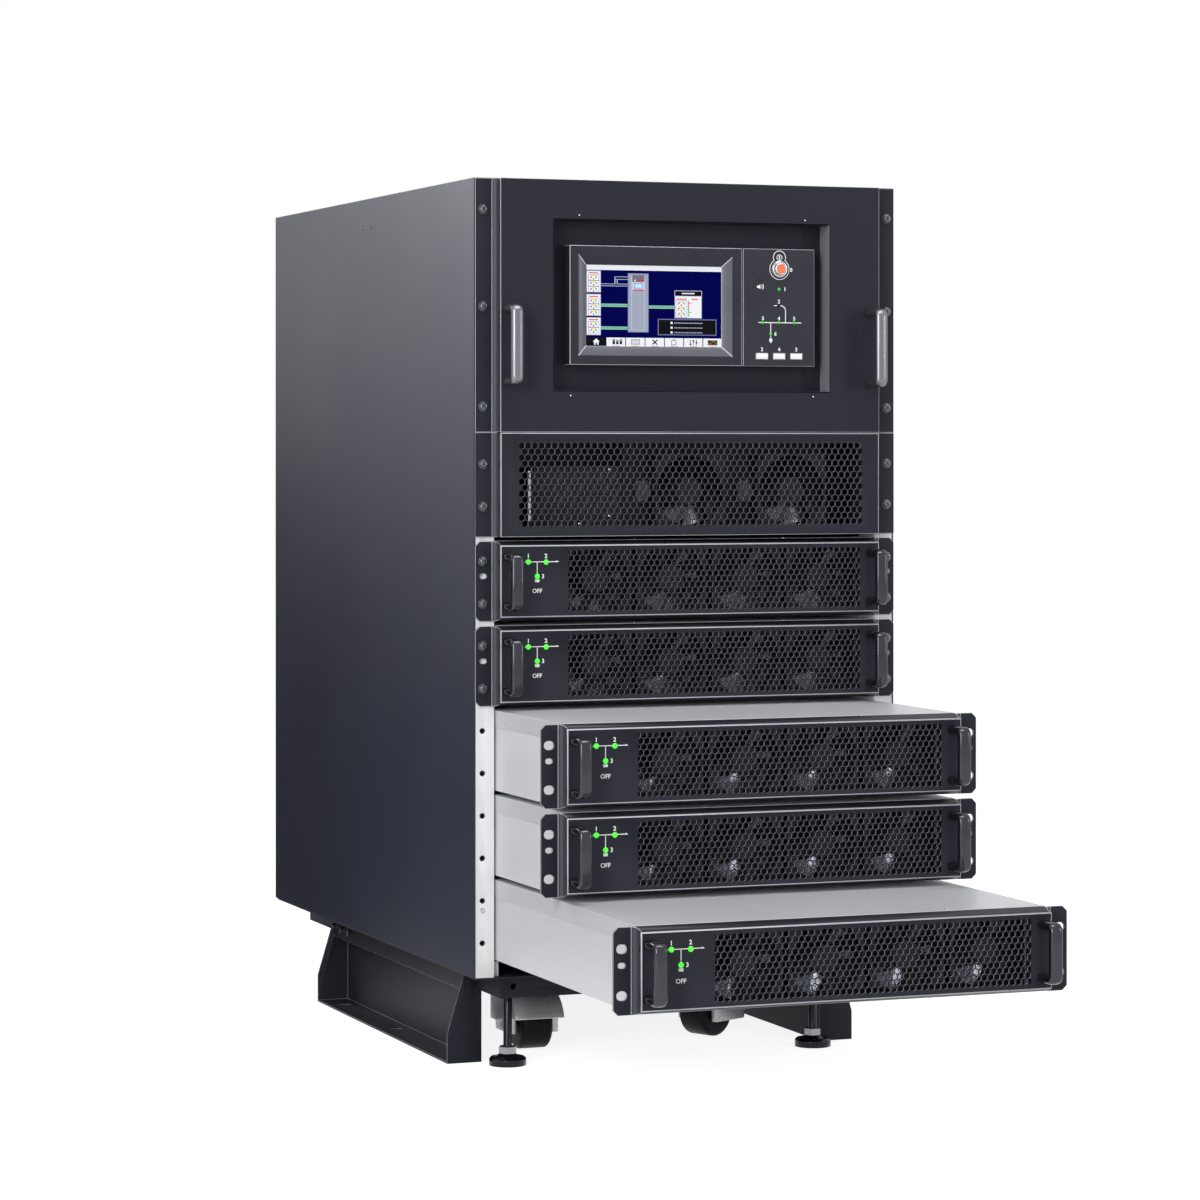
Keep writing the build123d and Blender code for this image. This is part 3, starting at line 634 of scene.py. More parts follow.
def scatter(name, body, shape, look, places, way="front", scale=1.0, turning=1.7):
    mesh = bpy.data.meshes.new(name)
    mesh.from_pydata([tuple(place) for place in places], [], [])
    turns = mesh.attributes.new("turn", "FLOAT_VECTOR", "POINT")
    about = Matrix.Rotation(facing[way][1], 3, "Z") @ Matrix.Rotation(facing[way][0], 3, "X")
    for index in range(len(places)):
        turns.data[index].vector = (about @ Matrix.Rotation((index * turning) % pi, 3, "Y")).to_euler()
    if look not in trees:
        trees[look] = scatterTree(f"{look}Scatter", finish[look])
    result = runTree(name, trees[look], {"Shape": shape, "Scale": scale}, mesh)
    smooth(result, 38.0)
    return newPiece(name, result, body)


def boltShape(bm):
    # a black cross-recess pan head on a loose washer
    addTurned(bm, [(0, -0.2), (5.3, -0.2), (5.3, 0.7), (4.9, 0.9), (4.3, 0.9), (4.3, 2.4), (3.9, 3.1), (2.9, 3.6),
                   (1.5, 3.8), (1.2, 2.7), (0, 2.5)], count=20)
    for a in (0, pi / 2):
        addCorners(bm, (-2.1 * mm, -3.74 * mm, -0.4 * mm), (2.1 * mm, -2.4 * mm, 0.4 * mm), Matrix.Rotation(a, 4, "Y"))
    bmesh.ops.recalc_face_normals(bm, faces=bm.faces)


def screwShape(bm):
    addTurned(bm, [(0, -0.1), (1.9, -0.1), (1.9, 0.35), (1.4, 0.8), (0.6, 0.9), (0.5, 0.4), (0, 0.3)], count=10)


def lampShape(bm):
    addTurned(bm, [(0, -0.15), (1.0, -0.15), (1.0, 0.12), (0.88, 0.36), (0.55, 0.56), (0, 0.64)], count=16)


def insertShape(bm):
    # a threaded insert behind a rail hole
    addTurned(bm, [(2.8, 0.15), (3.3, 0.15), (3.3, -8.0), (2.8, -8.0), (2.8, 0.15)], count=18)


def rivetShape(bm):
    addTurned(bm, [(0, -0.1), (3.1, -0.1), (3.1, 0.15), (2.3, 0.4), (1.3, 0.45), (1.0, 0.2), (0, 0.15)], count=16)


# a thin dark disc that stands in for a hole, its colour painted shade
def pitShape(bm):
    addTurned(bm, [(0, -0.3), (1.0, -0.3), (1.0, 0.03), (0, 0.03)], count=12)


def clinchShape(bm):
    # a locking slot in a folded side wall, with a dimple above and below it
    addPlate(bm, slotLoop(0, 0, 2.2, 6.4), [slotLoop(0, 0, 1.2, 5.4)], -0.25, 0.3)
    addPlate(bm, slotLoop(0, 0, 1.2, 5.4), [], -0.05, 0.1)
    for drop in (-5.6, 5.6):
        addPlate(bm, ringLoop(0, drop, 0.8, 8), [], -0.06, 0.1)
    bmesh.ops.translate(bm, vec=-spot(0, 0, 0), verts=bm.verts)


def hexBoltShape(bm):
    addTurned(bm, [(0, -0.2), (4.6, -0.2), (4.6, 0.9), (3.9, 1.0), (3.9, 4.4), (3.4, 4.9), (0, 4.9)], count=6)


bolt = template("boltTemplate", boltShape)
screw = template("screwTemplate", screwShape)
lamp = template("lampTemplate", lampShape)
insert = template("insertTemplate", insertShape)
rivet = template("rivetTemplate", rivetShape)
pit = template("pitTemplate", pitShape)
clinch = template("clinchTemplate", clinchShape)
hexBolt = template("hexBoltTemplate", hexBoltShape)


def addEarBracket(bm, side, high, low, out, slope, cut, holes):
    # an ear, its bend and the side wall, folded from one sheet; the bend and the side wall take a lighter paint,
    # painted light
    inner = front["wallX"] + front["bend"]
    outer = rack["halfWidth"]
    outline = [(inner, low), (inner, high), (outer - cut, high), (outer, high + cut), (outer, low - cut),
               (outer - cut, low)]
    if not cut:
        outline = [(inner, low), (inner, high), (outer, high), (outer, low)]
    addPlate(bm, [(side * px, drop) for px, drop in outline],
             [[(side * px, drop) for px, drop in hole] for hole in holes], -out,
             front["earThick"] - front["seat"])
    steps, bend, thick = front["bendSteps"], front["bend"], front["sheet"]
    angles = [pi / 2 * i / steps for i in range(steps + 1)]
    ahead = front["depth"] - front["sheet"] - front["groove"]
    path = [(inner - bend * sin(a), bend * (1 - cos(a))) for a in angles] + [(front["wallX"], ahead)]
    within = [(inner - (bend + thick) * sin(a), bend - (bend + thick) * cos(a)) for a in angles]
    within.append((front["wallX"] - thick, ahead))
    rows = []
    for px, reach in path + within[::-1]:
        rise = slope * max(reach, 0) / front["depth"]
        rows.append((bm.verts.new(spot(side * px, -out - reach, high + rise)),
                     bm.verts.new(spot(side * px, -out - reach, low - rise))))
    faces = [bm.faces.new((a[0], a[1], b[1], b[0])) for a, b in zip(rows, rows[1:] + rows[:1])]
    for face in faces:
        face.material_index = 1
    for end in (0, 1):
        for i in range(len(path) - 1):
            faces.append(bm.faces.new([rows[k][end] for k in (i, i + 1, -i - 2, -i - 1)]))
    bmesh.ops.recalc_face_normals(bm, faces=faces)


def addFoldedFace(bm, high, low, out, slope, opening):
    # the face and its folded edges as one open sheet; it gets its thickness afterwards
    half, ahead, lip = front["halfWidth"], front["depth"], front["sheet"]
    y = -out - ahead
    outer = [bm.verts.new(spot(px, y, pz)) for px, pz in boxLoop(-half, half, high + slope, low - slope)]
    hole = [bm.verts.new(spot(px, y, pz)) for px, pz in boxLoop(*opening)]
    fillLoops(bm, [outer, hole])
    for first, second, drop in ((outer[0], outer[1], high), (outer[3], outer[2], low)):
        back = [bm.verts.new(spot(px, -out + front["earThick"], drop)) for px in (-half, half)]
        bm.faces.new((first, second, back[1], back[0]))
    for side, first, second in ((-1, outer[0], outer[3]), (1, outer[1], outer[2])):
        rise = slope * lip / ahead
        back = [bm.verts.new(spot(side * half, y + lip, drop)) for drop in (high + slope - rise, low - slope + rise)]
        bm.faces.new((first, second, back[1], back[0]))
    bmesh.ops.recalc_face_normals(bm, faces=bm.faces)
    largest = max(bm.faces, key=lambda face: abs(face.normal.y) * face.calc_area())
    if largest.normal.y > 0:
        bmesh.ops.reverse_faces(bm, faces=bm.faces)


def buildFront(name, node, out, slope, cut, earHoles, opening, clinches):
    low, high = (dropOf(corner.z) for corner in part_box(node))
    body = bodyOf[node]
    face = made(f"{name}_face", addFoldedFace, body, "front", high, low, out, slope, opening, replaces=[node],
                slot="front_paint")
    thicken(face, front["sheet"])
    ease(face, front["edge"], edge="edge", skip=opening if name != "control_panel" else None)

    def brackets(bm):
        for side in (-1, 1):
            addEarBracket(bm, side, high, low, out, slope, cut, earHoles)

    ears = made(f"{name}_ears", brackets, body, "front", slot="front_paint")
    # the bends and side walls take the lighter fold paint, painted light
    ears.data.materials.append(finish["fold"])
    ease(ears, 0.35, edge="edge")
    for side, way in ((-1, "left"), (1, "right")):
        marks = [spot(side * front["wallX"], -out - front["clinchBehind"], drop) for drop in clinches]
        scatter(f"{name}_clinches_{way}", body, clinch, "grille", marks, way, turning=0.0)


honeycomb = honeycombTree("honeycombSheet", finish["grille"], finish["rim"])
sheetFold = {"near": 1.6, "short": 0.3}


def buildGrille(name, body, y, region, spec):
    # the sheet's front face lies at y
    x0, x1, d0, d1 = region
    middle = ((x0 + x1) / 2, (d0 + d1) / 2)
    values = {"Width": (x1 - x0) * mm, "Height": (d1 - d0) * mm, "Pitch": spec["pitch"] * mm,
              "Row Pitch": spec["rowPitch"] * mm, "Hole": spec["hole"] * mm, "Thickness": spec["sheet"] * mm,
              "Start X": (spec["firstX"] - middle[0]) * mm, "Start Z": (middle[1] - spec["firstDrop"]) * mm,
              "Columns": spec["columns"], "Rows": spec["rows"]}
    mesh = runTree(name, honeycomb, values)
    mesh.transform(Matrix.Translation(spot(middle[0], y + spec["sheet"], middle[1])))
    newPiece(name, mesh, body)

    def returns(bm):
        # the folds behind the sheet's two ends
        thick, near, short = spec["sheet"], sheetFold["near"], sheetFold["short"]
        for x in ((x0 - thick, x0), (x1, x1 + thick)):
            addSpan(bm, x, (y + near, y + spec["return"]), (d0 + short, d1 - short))

    if "return" in spec:
        made(f"{name}_returns", returns, body, "inner", slot="black_plastic")


print("folded fronts and grilles")
controlPanel = {"recess": (-157.8, 157.8, 43.2, 222.5), "floor": 10.0, "wall": 1.5, "clinches": (53.0, 155.0, 257.0),
                "boltDrops": (33.3, 134.9, 239.7), "screws": ((129.7, 38.1), (139.5, 228.0))}
fanPanel = {"region": (-198.2, 197.7, 275.9, 367.4), "boltDrops": (300.0, 344.45), "clinches": (300.0, 344.45)}
fanGrille = {"pitch": 7.42, "rowPitch": 6.28, "hole": 6.3, "sheet": 1.2, "firstX": -194.0, "firstDrop": 280.8,
             "columns": 53, "rows": 14, "return": 12.0}
moduleFront = {"slope": 4.3, "chamfer": 5.0, "grille": (-142.3, 195.0), "above": 8.6, "below": 9.2,
               "boltFall": 1.0, "smallRise": 5.5, "slot": (10.4, 8.6), "hole": (7.3, 5.2)}
moduleGrille = {"pitch": 6.74, "rowPitch": 5.9, "hole": 5.65, "sheet": 1.2, "firstX": -142.3, "columns": 51,
                "rows": 11, "firstBelow": 12.2, "return": 12.0}

buildFront("control_panel", "control_panel", 0.0, 0.0, 0.0, [], controlPanel["recess"], controlPanel["clinches"])
buildFront("fan_panel", "fan_panel", 0.0, 0.0, 0.0, [], fanPanel["region"], fanPanel["clinches"])
buildGrille("fan_panel_grille", "cabinet", -front["depth"], fanPanel["region"], fanGrille)


def boltDrops(name):
    return [moduleDrop(name) + moduleFront["boltFall"] + offset * rack["unit"] for offset in (-0.5, 0.5)]


for name in moduleNames:
    low, high = (dropOf(corner.z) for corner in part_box(f"{name}_bezel"))
    ears = [slotLoop(rack["boltX"], drop, *moduleFront["slot"]) for drop in boltDrops(name)]
    ears.append(slotLoop(rack["boltX"], moduleDrop(name) - moduleFront["smallRise"], *moduleFront["hole"]))
    region = (*moduleFront["grille"], high + moduleFront["above"], low - moduleFront["below"])
    buildFront(name, f"{name}_bezel", pulledOut(name), moduleFront["slope"], moduleFront["chamfer"], ears, region,
               boltDrops(name))
    spec = dict(moduleGrille, firstDrop=high + moduleGrille["firstBelow"])
    buildGrille(f"{name}_grille", name, -pulledOut(name) - front["depth"], region, spec)


def recessTub(bm):
    x0, x1, d0, d1 = controlPanel["recess"]
    near = [bm.verts.new(spot(x, -front["depth"], d)) for x, d in boxLoop(x0, x1, d0, d1)]
    far = [bm.verts.new(spot(x, controlPanel["floor"], d)) for x, d in boxLoop(x0, x1, d0, d1)]
    for i in range(4):
        j = (i + 1) % 4
        # the right-hand wall takes the light niche paint, painted light
        bm.faces.new((near[i], near[j], far[j], far[i])).material_index = int(i == 1)
    floor = bm.faces.new(far)
    bmesh.ops.recalc_face_normals(bm, faces=bm.faces)
    if floor.normal.y > 0:
        bmesh.ops.reverse_faces(bm, faces=bm.faces)


tub = made("control_panel_recess", recessTub, "cabinet", "front", slot="front_paint")
tub.data.materials.append(finish["niche"])
thicken(tub, controlPanel["wall"])
ease(tub, 0.3)

print("shell, rails and runners")
for side in ("left", "right"):
    dress(f"side_panel_{side}", "side", 0.9, 3)
    dress(f"floor_bracket_{side}", "base", 0.5, edge="edge")
for node, look, width in (("top_cover", "side", 0.5), ("rear_panel", "side", 0.8), ("floor_panel", "base", 0.5),
                          ("base_frame", "base", 0.6), ("front_rails", "rail", 0.5), ("module_runners", "rail", 0.3)):
    dress(node, look, width)

shellFixings = {"sideBehind": (360.5, 395.5), "sideDrop": 33.7, "skirtX": 218.4, "skirtTop": 838.8,
                "skirtSheet": 1.6, "skirtFoot": 78.5, "boltDrop": 854.0, "boltBehind": (516.0, 546.0, 576.0),
                "rearX": (-229.0, 0.0, 229.0), "rearDrops": (20.0, 419.0, 818.0), "insertBack": 0.4}
railHoles = [drop for name in moduleNames for drop in boltDrops(name)]
scatter("rail_inserts", "cabinet", insert, "bright",
        [spot(side * rack["boltX"], rack["railGap"] + shellFixings["insertBack"], drop) for side in (-1, 1)
         for drop in railHoles], turning=0.0)
scatter("rail_rivets", "cabinet", rivet, "bright",
        [spot(side * rack["boltX"], rack["railGap"], rack["rivetDrop"]) for side in (-1, 1)])
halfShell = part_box("side_panel_right")[1].x / mm
rearPlane = (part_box("rear_panel")[1].y - earPlane) / mm
for side, way in ((-1, "left"), (1, "right")):
    places = [spot(side * halfShell, y, shellFixings["sideDrop"]) for y in shellFixings["sideBehind"]]
    scatter(f"side_screws_{way}", "cabinet", screw, "bolt", places, way, 0.7)
    places = [spot(side * shellFixings["skirtX"], y, shellFixings["boltDrop"]) for y in shellFixings["boltBehind"]]
    scatter(f"bracket_bolts_{way}", "cabinet", hexBolt, "bolt", places, way)


def skirtParts(bm):
    # the upright strip of each floor bracket, between its step and the cabinet's floor
    inner, outer = shellFixings["skirtX"] - shellFixings["skirtSheet"], shellFixings["skirtX"]
    drop = (shellFixings["skirtTop"], dropOf(shellFixings["skirtFoot"] * mm))
    low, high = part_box("floor_bracket_left")
    reach = [(corner.y - earPlane) / mm for corner in (low, high)]
    for side in (-1, 1):
        addSpan(bm, sorted((side * inner, side * outer)), reach, drop)


ease(made("bracket_skirts", skirtParts, "cabinet", "base", slot="paint"), 0.4)
places = [spot(x, rearPlane, drop) for x in shellFixings["rearX"] for drop in shellFixings["rearDrops"]
          if x or drop != shellFixings["rearDrops"][1]]
scatter("rear_screws", "cabinet", screw, "bolt", places, "rear", 1.3)

print("control panel")
places = [spot(side * rack["boltX"], 0, drop) for side in (-1, 1)
          for drop in controlPanel["boltDrops"] + fanPanel["boltDrops"]]
scatter("panel_bolts", "cabinet", bolt, "bolt", places)
scatter("panel_screws", "cabinet", screw, "bright",
        [spot(side * x, -front["depth"], drop) for x, drop in controlPanel["screws"] for side in (-1, 1)],
        scale=0.42)
display = {"box": (-139.5, 57.4, 69.5, 195.5), "frame": 10.0, "margin": 2.0, "slope": 10.5, "front": -10.0,
           "seat": -4.0, "rear": 10.0, "plate": (58.6, 142.0, 69.5, 195.5), "bore": (101.0, 91.0, 6.75),
           "ring": 9.2, "ringFront": -12.0, "ringChamfer": 1.2, "lip": 0.6, "keyGap": 0.25}
handle = {"half": 6.75, "thick": 4.5, "bend": 4.7, "bendSteps": 6, "sides": 20}


def shrunk(box, left, right, ends):
    x0, x1, d0, d1 = box
    return boxLoop(x0 + left, x1 - right, d0 + ends, d1 - ends)


def housingParts(bm):
    # the display's box, with a wide frame that slopes in to the screen; its left, right and bottom slopes take a
    # lighter finish, painted light, and its top slope keeps the housing's dark one, painted shade
    box, frameWide, slope = display["box"], display["frame"], display["slope"]
    right = frameWide + display["margin"] - display["lip"]
    outer = boxLoop(*box)
    mouth = shrunk(box, frameWide, right, frameWide)
    throat = shrunk(box, frameWide + slope, right + slope, frameWide + slope)
    rings = []
    for loop, y in ((outer, "rear"), (outer, "front"), (mouth, "front"), (throat, "seat"), (throat, "rear")):
        rings.append([bm.verts.new(spot(px, display[y], pz)) for px, pz in loop])
    for step, (first, second) in enumerate(zip(rings, rings[1:] + rings[:1])):
        for i in range(4):
            j = (i + 1) % 4
            # the left, right and bottom slopes take the lighter finish, painted light; the top slope keeps the
            # housing's, painted shade
            bm.faces.new((first[i], first[j], second[j], second[i])).material_index = int(step == 2 and i > 0)
    bmesh.ops.recalc_face_normals(bm, faces=bm.faces)


def plateParts(bm):
    # the block beside the display, bored for the stop button and cut out for its keys
    x, drop, radius = display["bore"]
    holes = [ringLoop(x, drop, radius, 32)]
    gap = display["keyGap"]
    for key in keyNames:
        low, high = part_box(key)
        holes.append(boxLoop(low.x / mm - gap, high.x / mm + gap, dropOf(high.z) - gap, dropOf(low.z) + gap))
    face = display["front"]
    addPlate(bm, boxLoop(*display["plate"]), holes, face, display["rear"] - face)
    ring, rise, chamfer = display["ring"], face - display["ringFront"], display["ringChamfer"]
    addTurned(bm, [(radius, -1.0), (ring, -1.0), (ring, rise - 1.0), (ring - chamfer, rise), (radius, rise),
                   (radius, -1.0)], spot(x, face, drop), 32)


def handleParts(bm, low, high, boxy):
    # two bow handles of a rounded bar, bent at their corners; boxy is 1 for an oval and less for a flatter bar
    half, thick, bend, steps, sides = (handle[key] for key in ("half", "thick", "bend", "bendSteps", "sides"))
    straight = (high.y - low.y) / mm - thick - bend
    tall = (high.z - low.z) / mm
    path = [(0.0, thick, 0.0), (straight, thick, 0.0)]
    for i in range(1, steps + 1):
        a = pi / 2 / steps * i
        path.append((straight + bend * sin(a), thick + bend * (1 - cos(a)), a))
    path += [(ahead, tall - up, pi - a) for ahead, up, a in path[::-1]]
    for side in (-1, 1):
        centre = side * (high.x / mm - half)
        rings = []
        for ahead, up, a in path:
            ring = []
            for k in range(sides):
                b = 2 * pi * k / sides
                across, out = (reach * abs(part) ** boxy * (1 if part > 0 else -1)
                               for reach, part in ((half, cos(b)), (thick, sin(b))))
                place = Vector((centre + across, -(ahead + out * sin(a)), up - out * cos(a))) * mm
                ring.append(bm.verts.new(Vector((0, high.y, low.z)) + place))
            rings.append(ring)
        for first, second in zip(rings, rings[1:]):
            for k in range(sides):
                bm.faces.new((first[k], first[(k + 1) % sides], second[(k + 1) % sides], second[k]))
        bm.faces.new(rings[0])
        bm.faces.new(rings[-1])
    bmesh.ops.recalc_face_normals(bm, faces=bm.faces)


def buildHandles(node, look, boxy):
    piece = made(f"{node}_bowed", handleParts, bodyOf[node], look, *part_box(node), boxy, replaces=[node],
                 slot=slotOf[node])
    smooth(piece.data, 50.0)


housing = made("display_housing_sloped", housingParts, "cabinet", "housing", replaces=["display_housing"],
               slot=slotOf["display_housing"])
housing.data.materials.append(finish["slope"])
ease(housing, 0.6, edge="edge")
plate = made("control_plate_bored", plateParts, "cabinet", "plate", replaces=["control_plate"],
             slot=slotOf["control_plate"])
ease(plate, 0.4, edge="edge")
dress("display_screen", "glass", 0.0)
buildHandles("panel_handles", "pull", 0.9)
for key in keyNames:
    dress(key, "key", 0.35)

controls = {"face": -10.0, "ringFace": -12.0, "stopFace": -15.0, "stopRoot": -5.0, "stop": (101.0, 91.0),
            "ringRadius": 11.2, "keyhole": (101.0, 78.6), "keyholeRadius": 7.2, "buzzer": (78.1, 103.1),
            "speaker": (78.3, 110.2), "status": (100.6, 112.7), "mainDrop": 148.6, "mainX": (76.5, 126.6),
            "lampX": (81.6, 100.4, 118.3), "bypass": (100.1, 130.3), "branchX": 90.8, "batteryDrop": 160.6,
            "keyX": (80.6, 100.7, 120.8), "labelDrop": 177.6, "line": 0.85, "letter": 5.6, "lampSize": 1.75,
            "bendX": 102.3, "bend": 5.8, "branchFoot": 165.8,
            "battery": ((1.7, 166.0, 168.8), (0.8, 168.9, 170.2)),
            "labels": (("0", 114.8, 91.8), ("1", 107.4, 112.7), ("2", 100.4, 126.0), ("3", 81.6, 144.2),
                       ("4", 100.4, 144.2), ("5", 118.3, 144.2), ("6", 96.3, 160.8))}


def stopParts(bm):
    # a bright rim round a red push button with a shallow dish
    x, drop = controls["stop"]
    deep = controls["stopFace"] - controls["stopRoot"]
    addTurned(bm, [(0, deep), (6.5, deep), (6.5, -0.9), (6.1, -0.3), (5.4, 0), (5.1, -0.35), (4.6, -0.25),
                   (3.2, -0.7), (0, -0.9)], spot(x, controls["stopFace"], drop), 32, (0, 0, 0, 0, 0, 1, 1, 1))


stop = made("stop_button_turned", stopParts, "stop_button", "bright", replaces=["stop_button"], slot="stop")
stop.data.materials.append(finish["stop"])
smooth(stop.data)


def collarParts(bm):
    x, drop = controls["stop"]
    addTurned(bm, [(6.85, -0.2), (8.5, -0.2), (8.5, 0.15), (7.9, 0.6), (7.2, 0.6), (6.85, 0.3), (6.85, -0.2)],
              spot(x, controls["ringFace"], drop), 36)


smooth(made("stop_collar", collarParts, "cabinet", "bright", slot="steel").data)


def keyholeLoop(grow):
    # the outline of two joined circles: the large one round the stop button, the small one above it
    x, drop = controls["stop"]
    big, small = controls["ringRadius"] + grow, controls["keyholeRadius"] + grow
    apart = drop - controls["keyhole"][1]
    along = (big ** 2 - small ** 2 + apart ** 2) / (2 * apart)
    aside = sqrt(big ** 2 - along ** 2)
    low, high = atan2(aside, along), atan2(aside, along - apart)
    loop = [(x + big * sin(low + (2 * pi - 2 * low) * i / 40), drop - big * cos(low + (2 * pi - 2 * low) * i / 40))
            for i in range(41)]
    return loop + [(x + small * sin(-high + 2 * high * i / 20), drop - apart - small * cos(-high + 2 * high * i / 20))
                   for i in range(1, 20)]


def controlInk(bm):
    face, line = controls["face"], controls["line"]
    main, branch = controls["mainDrop"], controls["branchX"]
    x, drop = controls["keyhole"]
    addInk(bm, keyholeLoop(0.35), face, [keyholeLoop(-0.35)])
    addInk(bm, ringLoop(x, drop, 3.3, 20), face, [ringLoop(x, drop, 2.7, 20)])
    addInk(bm, slotLoop(x, drop, 1.3, 3.8), face)
    # the main line, the curve down from the bypass lamp, and the branch to the battery mark
    addStroke(bm, [(controls["mainX"][0], main), (controls["mainX"][1], main)], line, face)
    bendX, bend, start = controls["bendX"], controls["bend"], controls["bypass"][1]
    curve = [(controls["bypass"][0] - 5.4, start)]
    curve += [(bendX + bend * sin(pi / 2 * i / 8), start + bend * (1 - cos(pi / 2 * i / 8))) for i in range(9)]
    addStroke(bm, curve + [(bendX + bend, main - 0.4)], line, face)
    addStroke(bm, [(branch, main), (branch, controls["branchFoot"])], line, face)
    for half, top, foot in controls["battery"]:
        addInk(bm, boxLoop(branch - half, branch + half, top, foot), face)
    # a loudspeaker mark below the buzzer
    x, drop = controls["speaker"]
    addInk(bm, [(x - 3.6, drop - 1.1), (x - 1.8, drop - 1.1), (x + 0.4, drop - 2.6), (x + 0.4, drop + 2.6),
                (x - 1.8, drop + 1.1), (x - 3.6, drop + 1.1)], face)
    for radius in (2.3, 4.1):
        arc = [(x + radius * cos(-0.8 + 1.6 * i / 8), drop + radius * sin(-0.8 + 1.6 * i / 8)) for i in range(9)]
        addStroke(bm, arc, 0.7, face)
    # plain numbers beside the lamps and keys
    keys = [(number, px, controls["labelDrop"]) for number, px in zip("243", controls["keyX"])]
    for words, px, pz in [*controls["labels"], *keys]:
        addLetters(bm, words, px, pz, controls["letter"], face)


made("control_ink", controlInk, "cabinet", "ink", slot="key")
face, size = controls["face"], controls["lampSize"]
greens = [(px, controls["mainDrop"]) for px in controls["lampX"]]
greens += [controls["status"], (controls["branchX"], controls["batteryDrop"])]
scatter("control_lamps", "cabinet", lamp, "dimGreen", [spot(px, face, pz) for px, pz in greens], scale=size)
scatter("bypass_lamp", "cabinet", lamp, "pit", [spot(controls["bypass"][0], face, controls["bypass"][1])], scale=size)
x, drop = controls["buzzer"]
# dark discs stand in for the buzzer's holes, painted shade
scatter("buzzer_holes", "cabinet", pit, "pit",
        [spot(x + dx, face, drop + dz) for dx, dz in ((0, -2.3), (2.3, 0), (0, 2.3), (-2.3, 0))], scale=1.05)

print("display picture")
screen = {"x": (-118.5, 36.6), "drop": (89.1, 176.8), "face": -4.0, "layer": 0.025, "tall": 1.75}
tint = {"navy": (0.0, 0.0, 0.05), "white": (0.60, 0.61, 0.64), "black": (0.004, 0.004, 0.005),
        "grey": (0.25, 0.27, 0.34), "darkGrey": (0.12, 0.12, 0.15), "sky": (0.35, 0.60, 0.74),
        "red": (0.48, 0.015, 0.02), "green": (0.02, 0.34, 0.04), "yellow": (0.68, 0.52, 0.03),
        "leaf": (0.20, 0.46, 0.30), "pipe": (0.38, 0.41, 0.55), "edge": (0.12, 0.14, 0.28),
        "teal": (0.03, 0.13, 0.16)}


class Picture:  # flat shapes in stacked layers, placed by shares of the screen's width and height
    def __init__(self):
        self.bm = bmesh.new()
        self.ink = self.bm.loops.layers.float_color.new("picture")

    def shape(self, points, colour, layer):
        (x0, x1), (d0, d1) = screen["x"], screen["drop"]
        y = screen["face"] - layer * screen["layer"]
        verts = [self.bm.verts.new(spot(x0 + u * (x1 - x0), y, d0 + v * (d1 - d0))) for u, v in points]
        face = self.bm.faces.new(verts)
        face.normal_update()
        if face.normal.y > 0:
            face.normal_flip()
        for corner in face.loops:
            corner[self.ink] = (*tint[colour], 1.0)

    def box(self, u0, v0, u1, v1, colour, layer):
        self.shape([(u0, v0), (u1, v0), (u1, v1), (u0, v1)], colour, layer)

    def framed(self, u0, v0, u1, v1, colour, border, layer, width=0.004):
        self.box(u0, v0, u1, v1, border, layer)
        tall = width * screen["tall"]
        self.box(u0 + width, v0 + tall, u1 - width, v1 - tall, colour, layer + 1)

    def arc(self, u, v, radius, start, end, colour, layer, width):
        for i in range(5):
            a, b = (start + (end - start) * k / 5 for k in (i, i + 1))
            ends = [(radius, a), (radius, b), (radius - width, b), (radius - width, a)]
            self.shape([(u + r * cos(t), v - screen["tall"] * r * sin(t)) for r, t in ends], colour, layer)

    def gauge(self, u, v, size, layer):
        # a dial with red, yellow and green bands
        self.box(u - size, v - size * 0.95, u + size, v + size * 0.85, "edge", layer)
        self.box(u - size * 0.93, v - size * 0.82, u + size * 0.93, v + size * 0.72, "white", layer + 1)
        base = v + size * 0.55
        for start, end, colour in ((2.8, 2.1, "red"), (2.1, 1.15, "yellow"), (1.15, 0.35, "green")):
            self.arc(u, base, size * 0.72, start, end, colour, layer + 2, size * 0.2)
        self.box(u - 0.004, base - 0.016, u + 0.004, base, "black", layer + 3)

    def mesh(self):
        mesh = bpy.data.meshes.new("displayPicture")
        self.bm.to_mesh(mesh)
        self.bm.free()
        return mesh


picture = Picture()
picture.box(0.0, 0.0, 1.0, 1.0, "navy", 1)
picture.box(0.0, 0.0, 1.0, 0.066, "white", 2)
for top, bottom, dials in ((0.075, 0.338, 3), (0.358, 0.622, 3), (0.640, 0.852, 2)):
    picture.framed(0.0, top, 0.104, bottom, "white", "pipe", 2)
    picture.box(0.018, top + 0.022, 0.086, top + 0.034, "red", 4)
    for index in range(dials):
        picture.gauge(0.052, top + 0.085 + index * 0.071, 0.040, 4)
for u0, v0, u1, v1 in ((0.215, 0.142, 0.302, 0.148), (0.215, 0.174, 0.302, 0.180), (0.205, 0.142, 0.211, 0.236),
                       (0.221, 0.174, 0.227, 0.236), (0.104, 0.230, 0.211, 0.236), (0.221, 0.230, 0.302, 0.236),
                       (0.104, 0.254, 0.302, 0.260)):
    picture.box(u0, v0, u1, v1, "pipe", 2)
for v, u0, u1 in ((0.490, 0.104, 0.302), (0.765, 0.104, 0.302), (0.505, 0.454, 0.648)):
    picture.box(u0, v - 0.018, u1, v + 0.018, "leaf", 2)
    picture.box(u0, v - 0.008, u1, v + 0.008, "teal", 3)
    for index in range(int((u1 - u0) / 0.016)):
        start = u0 + 0.004 + index * 0.016
        picture.box(start, v - 0.006, start + 0.008, v + 0.006, "leaf", 4)
picture.framed(0.302, 0.100, 0.455, 0.815, "grey", "edge", 3)
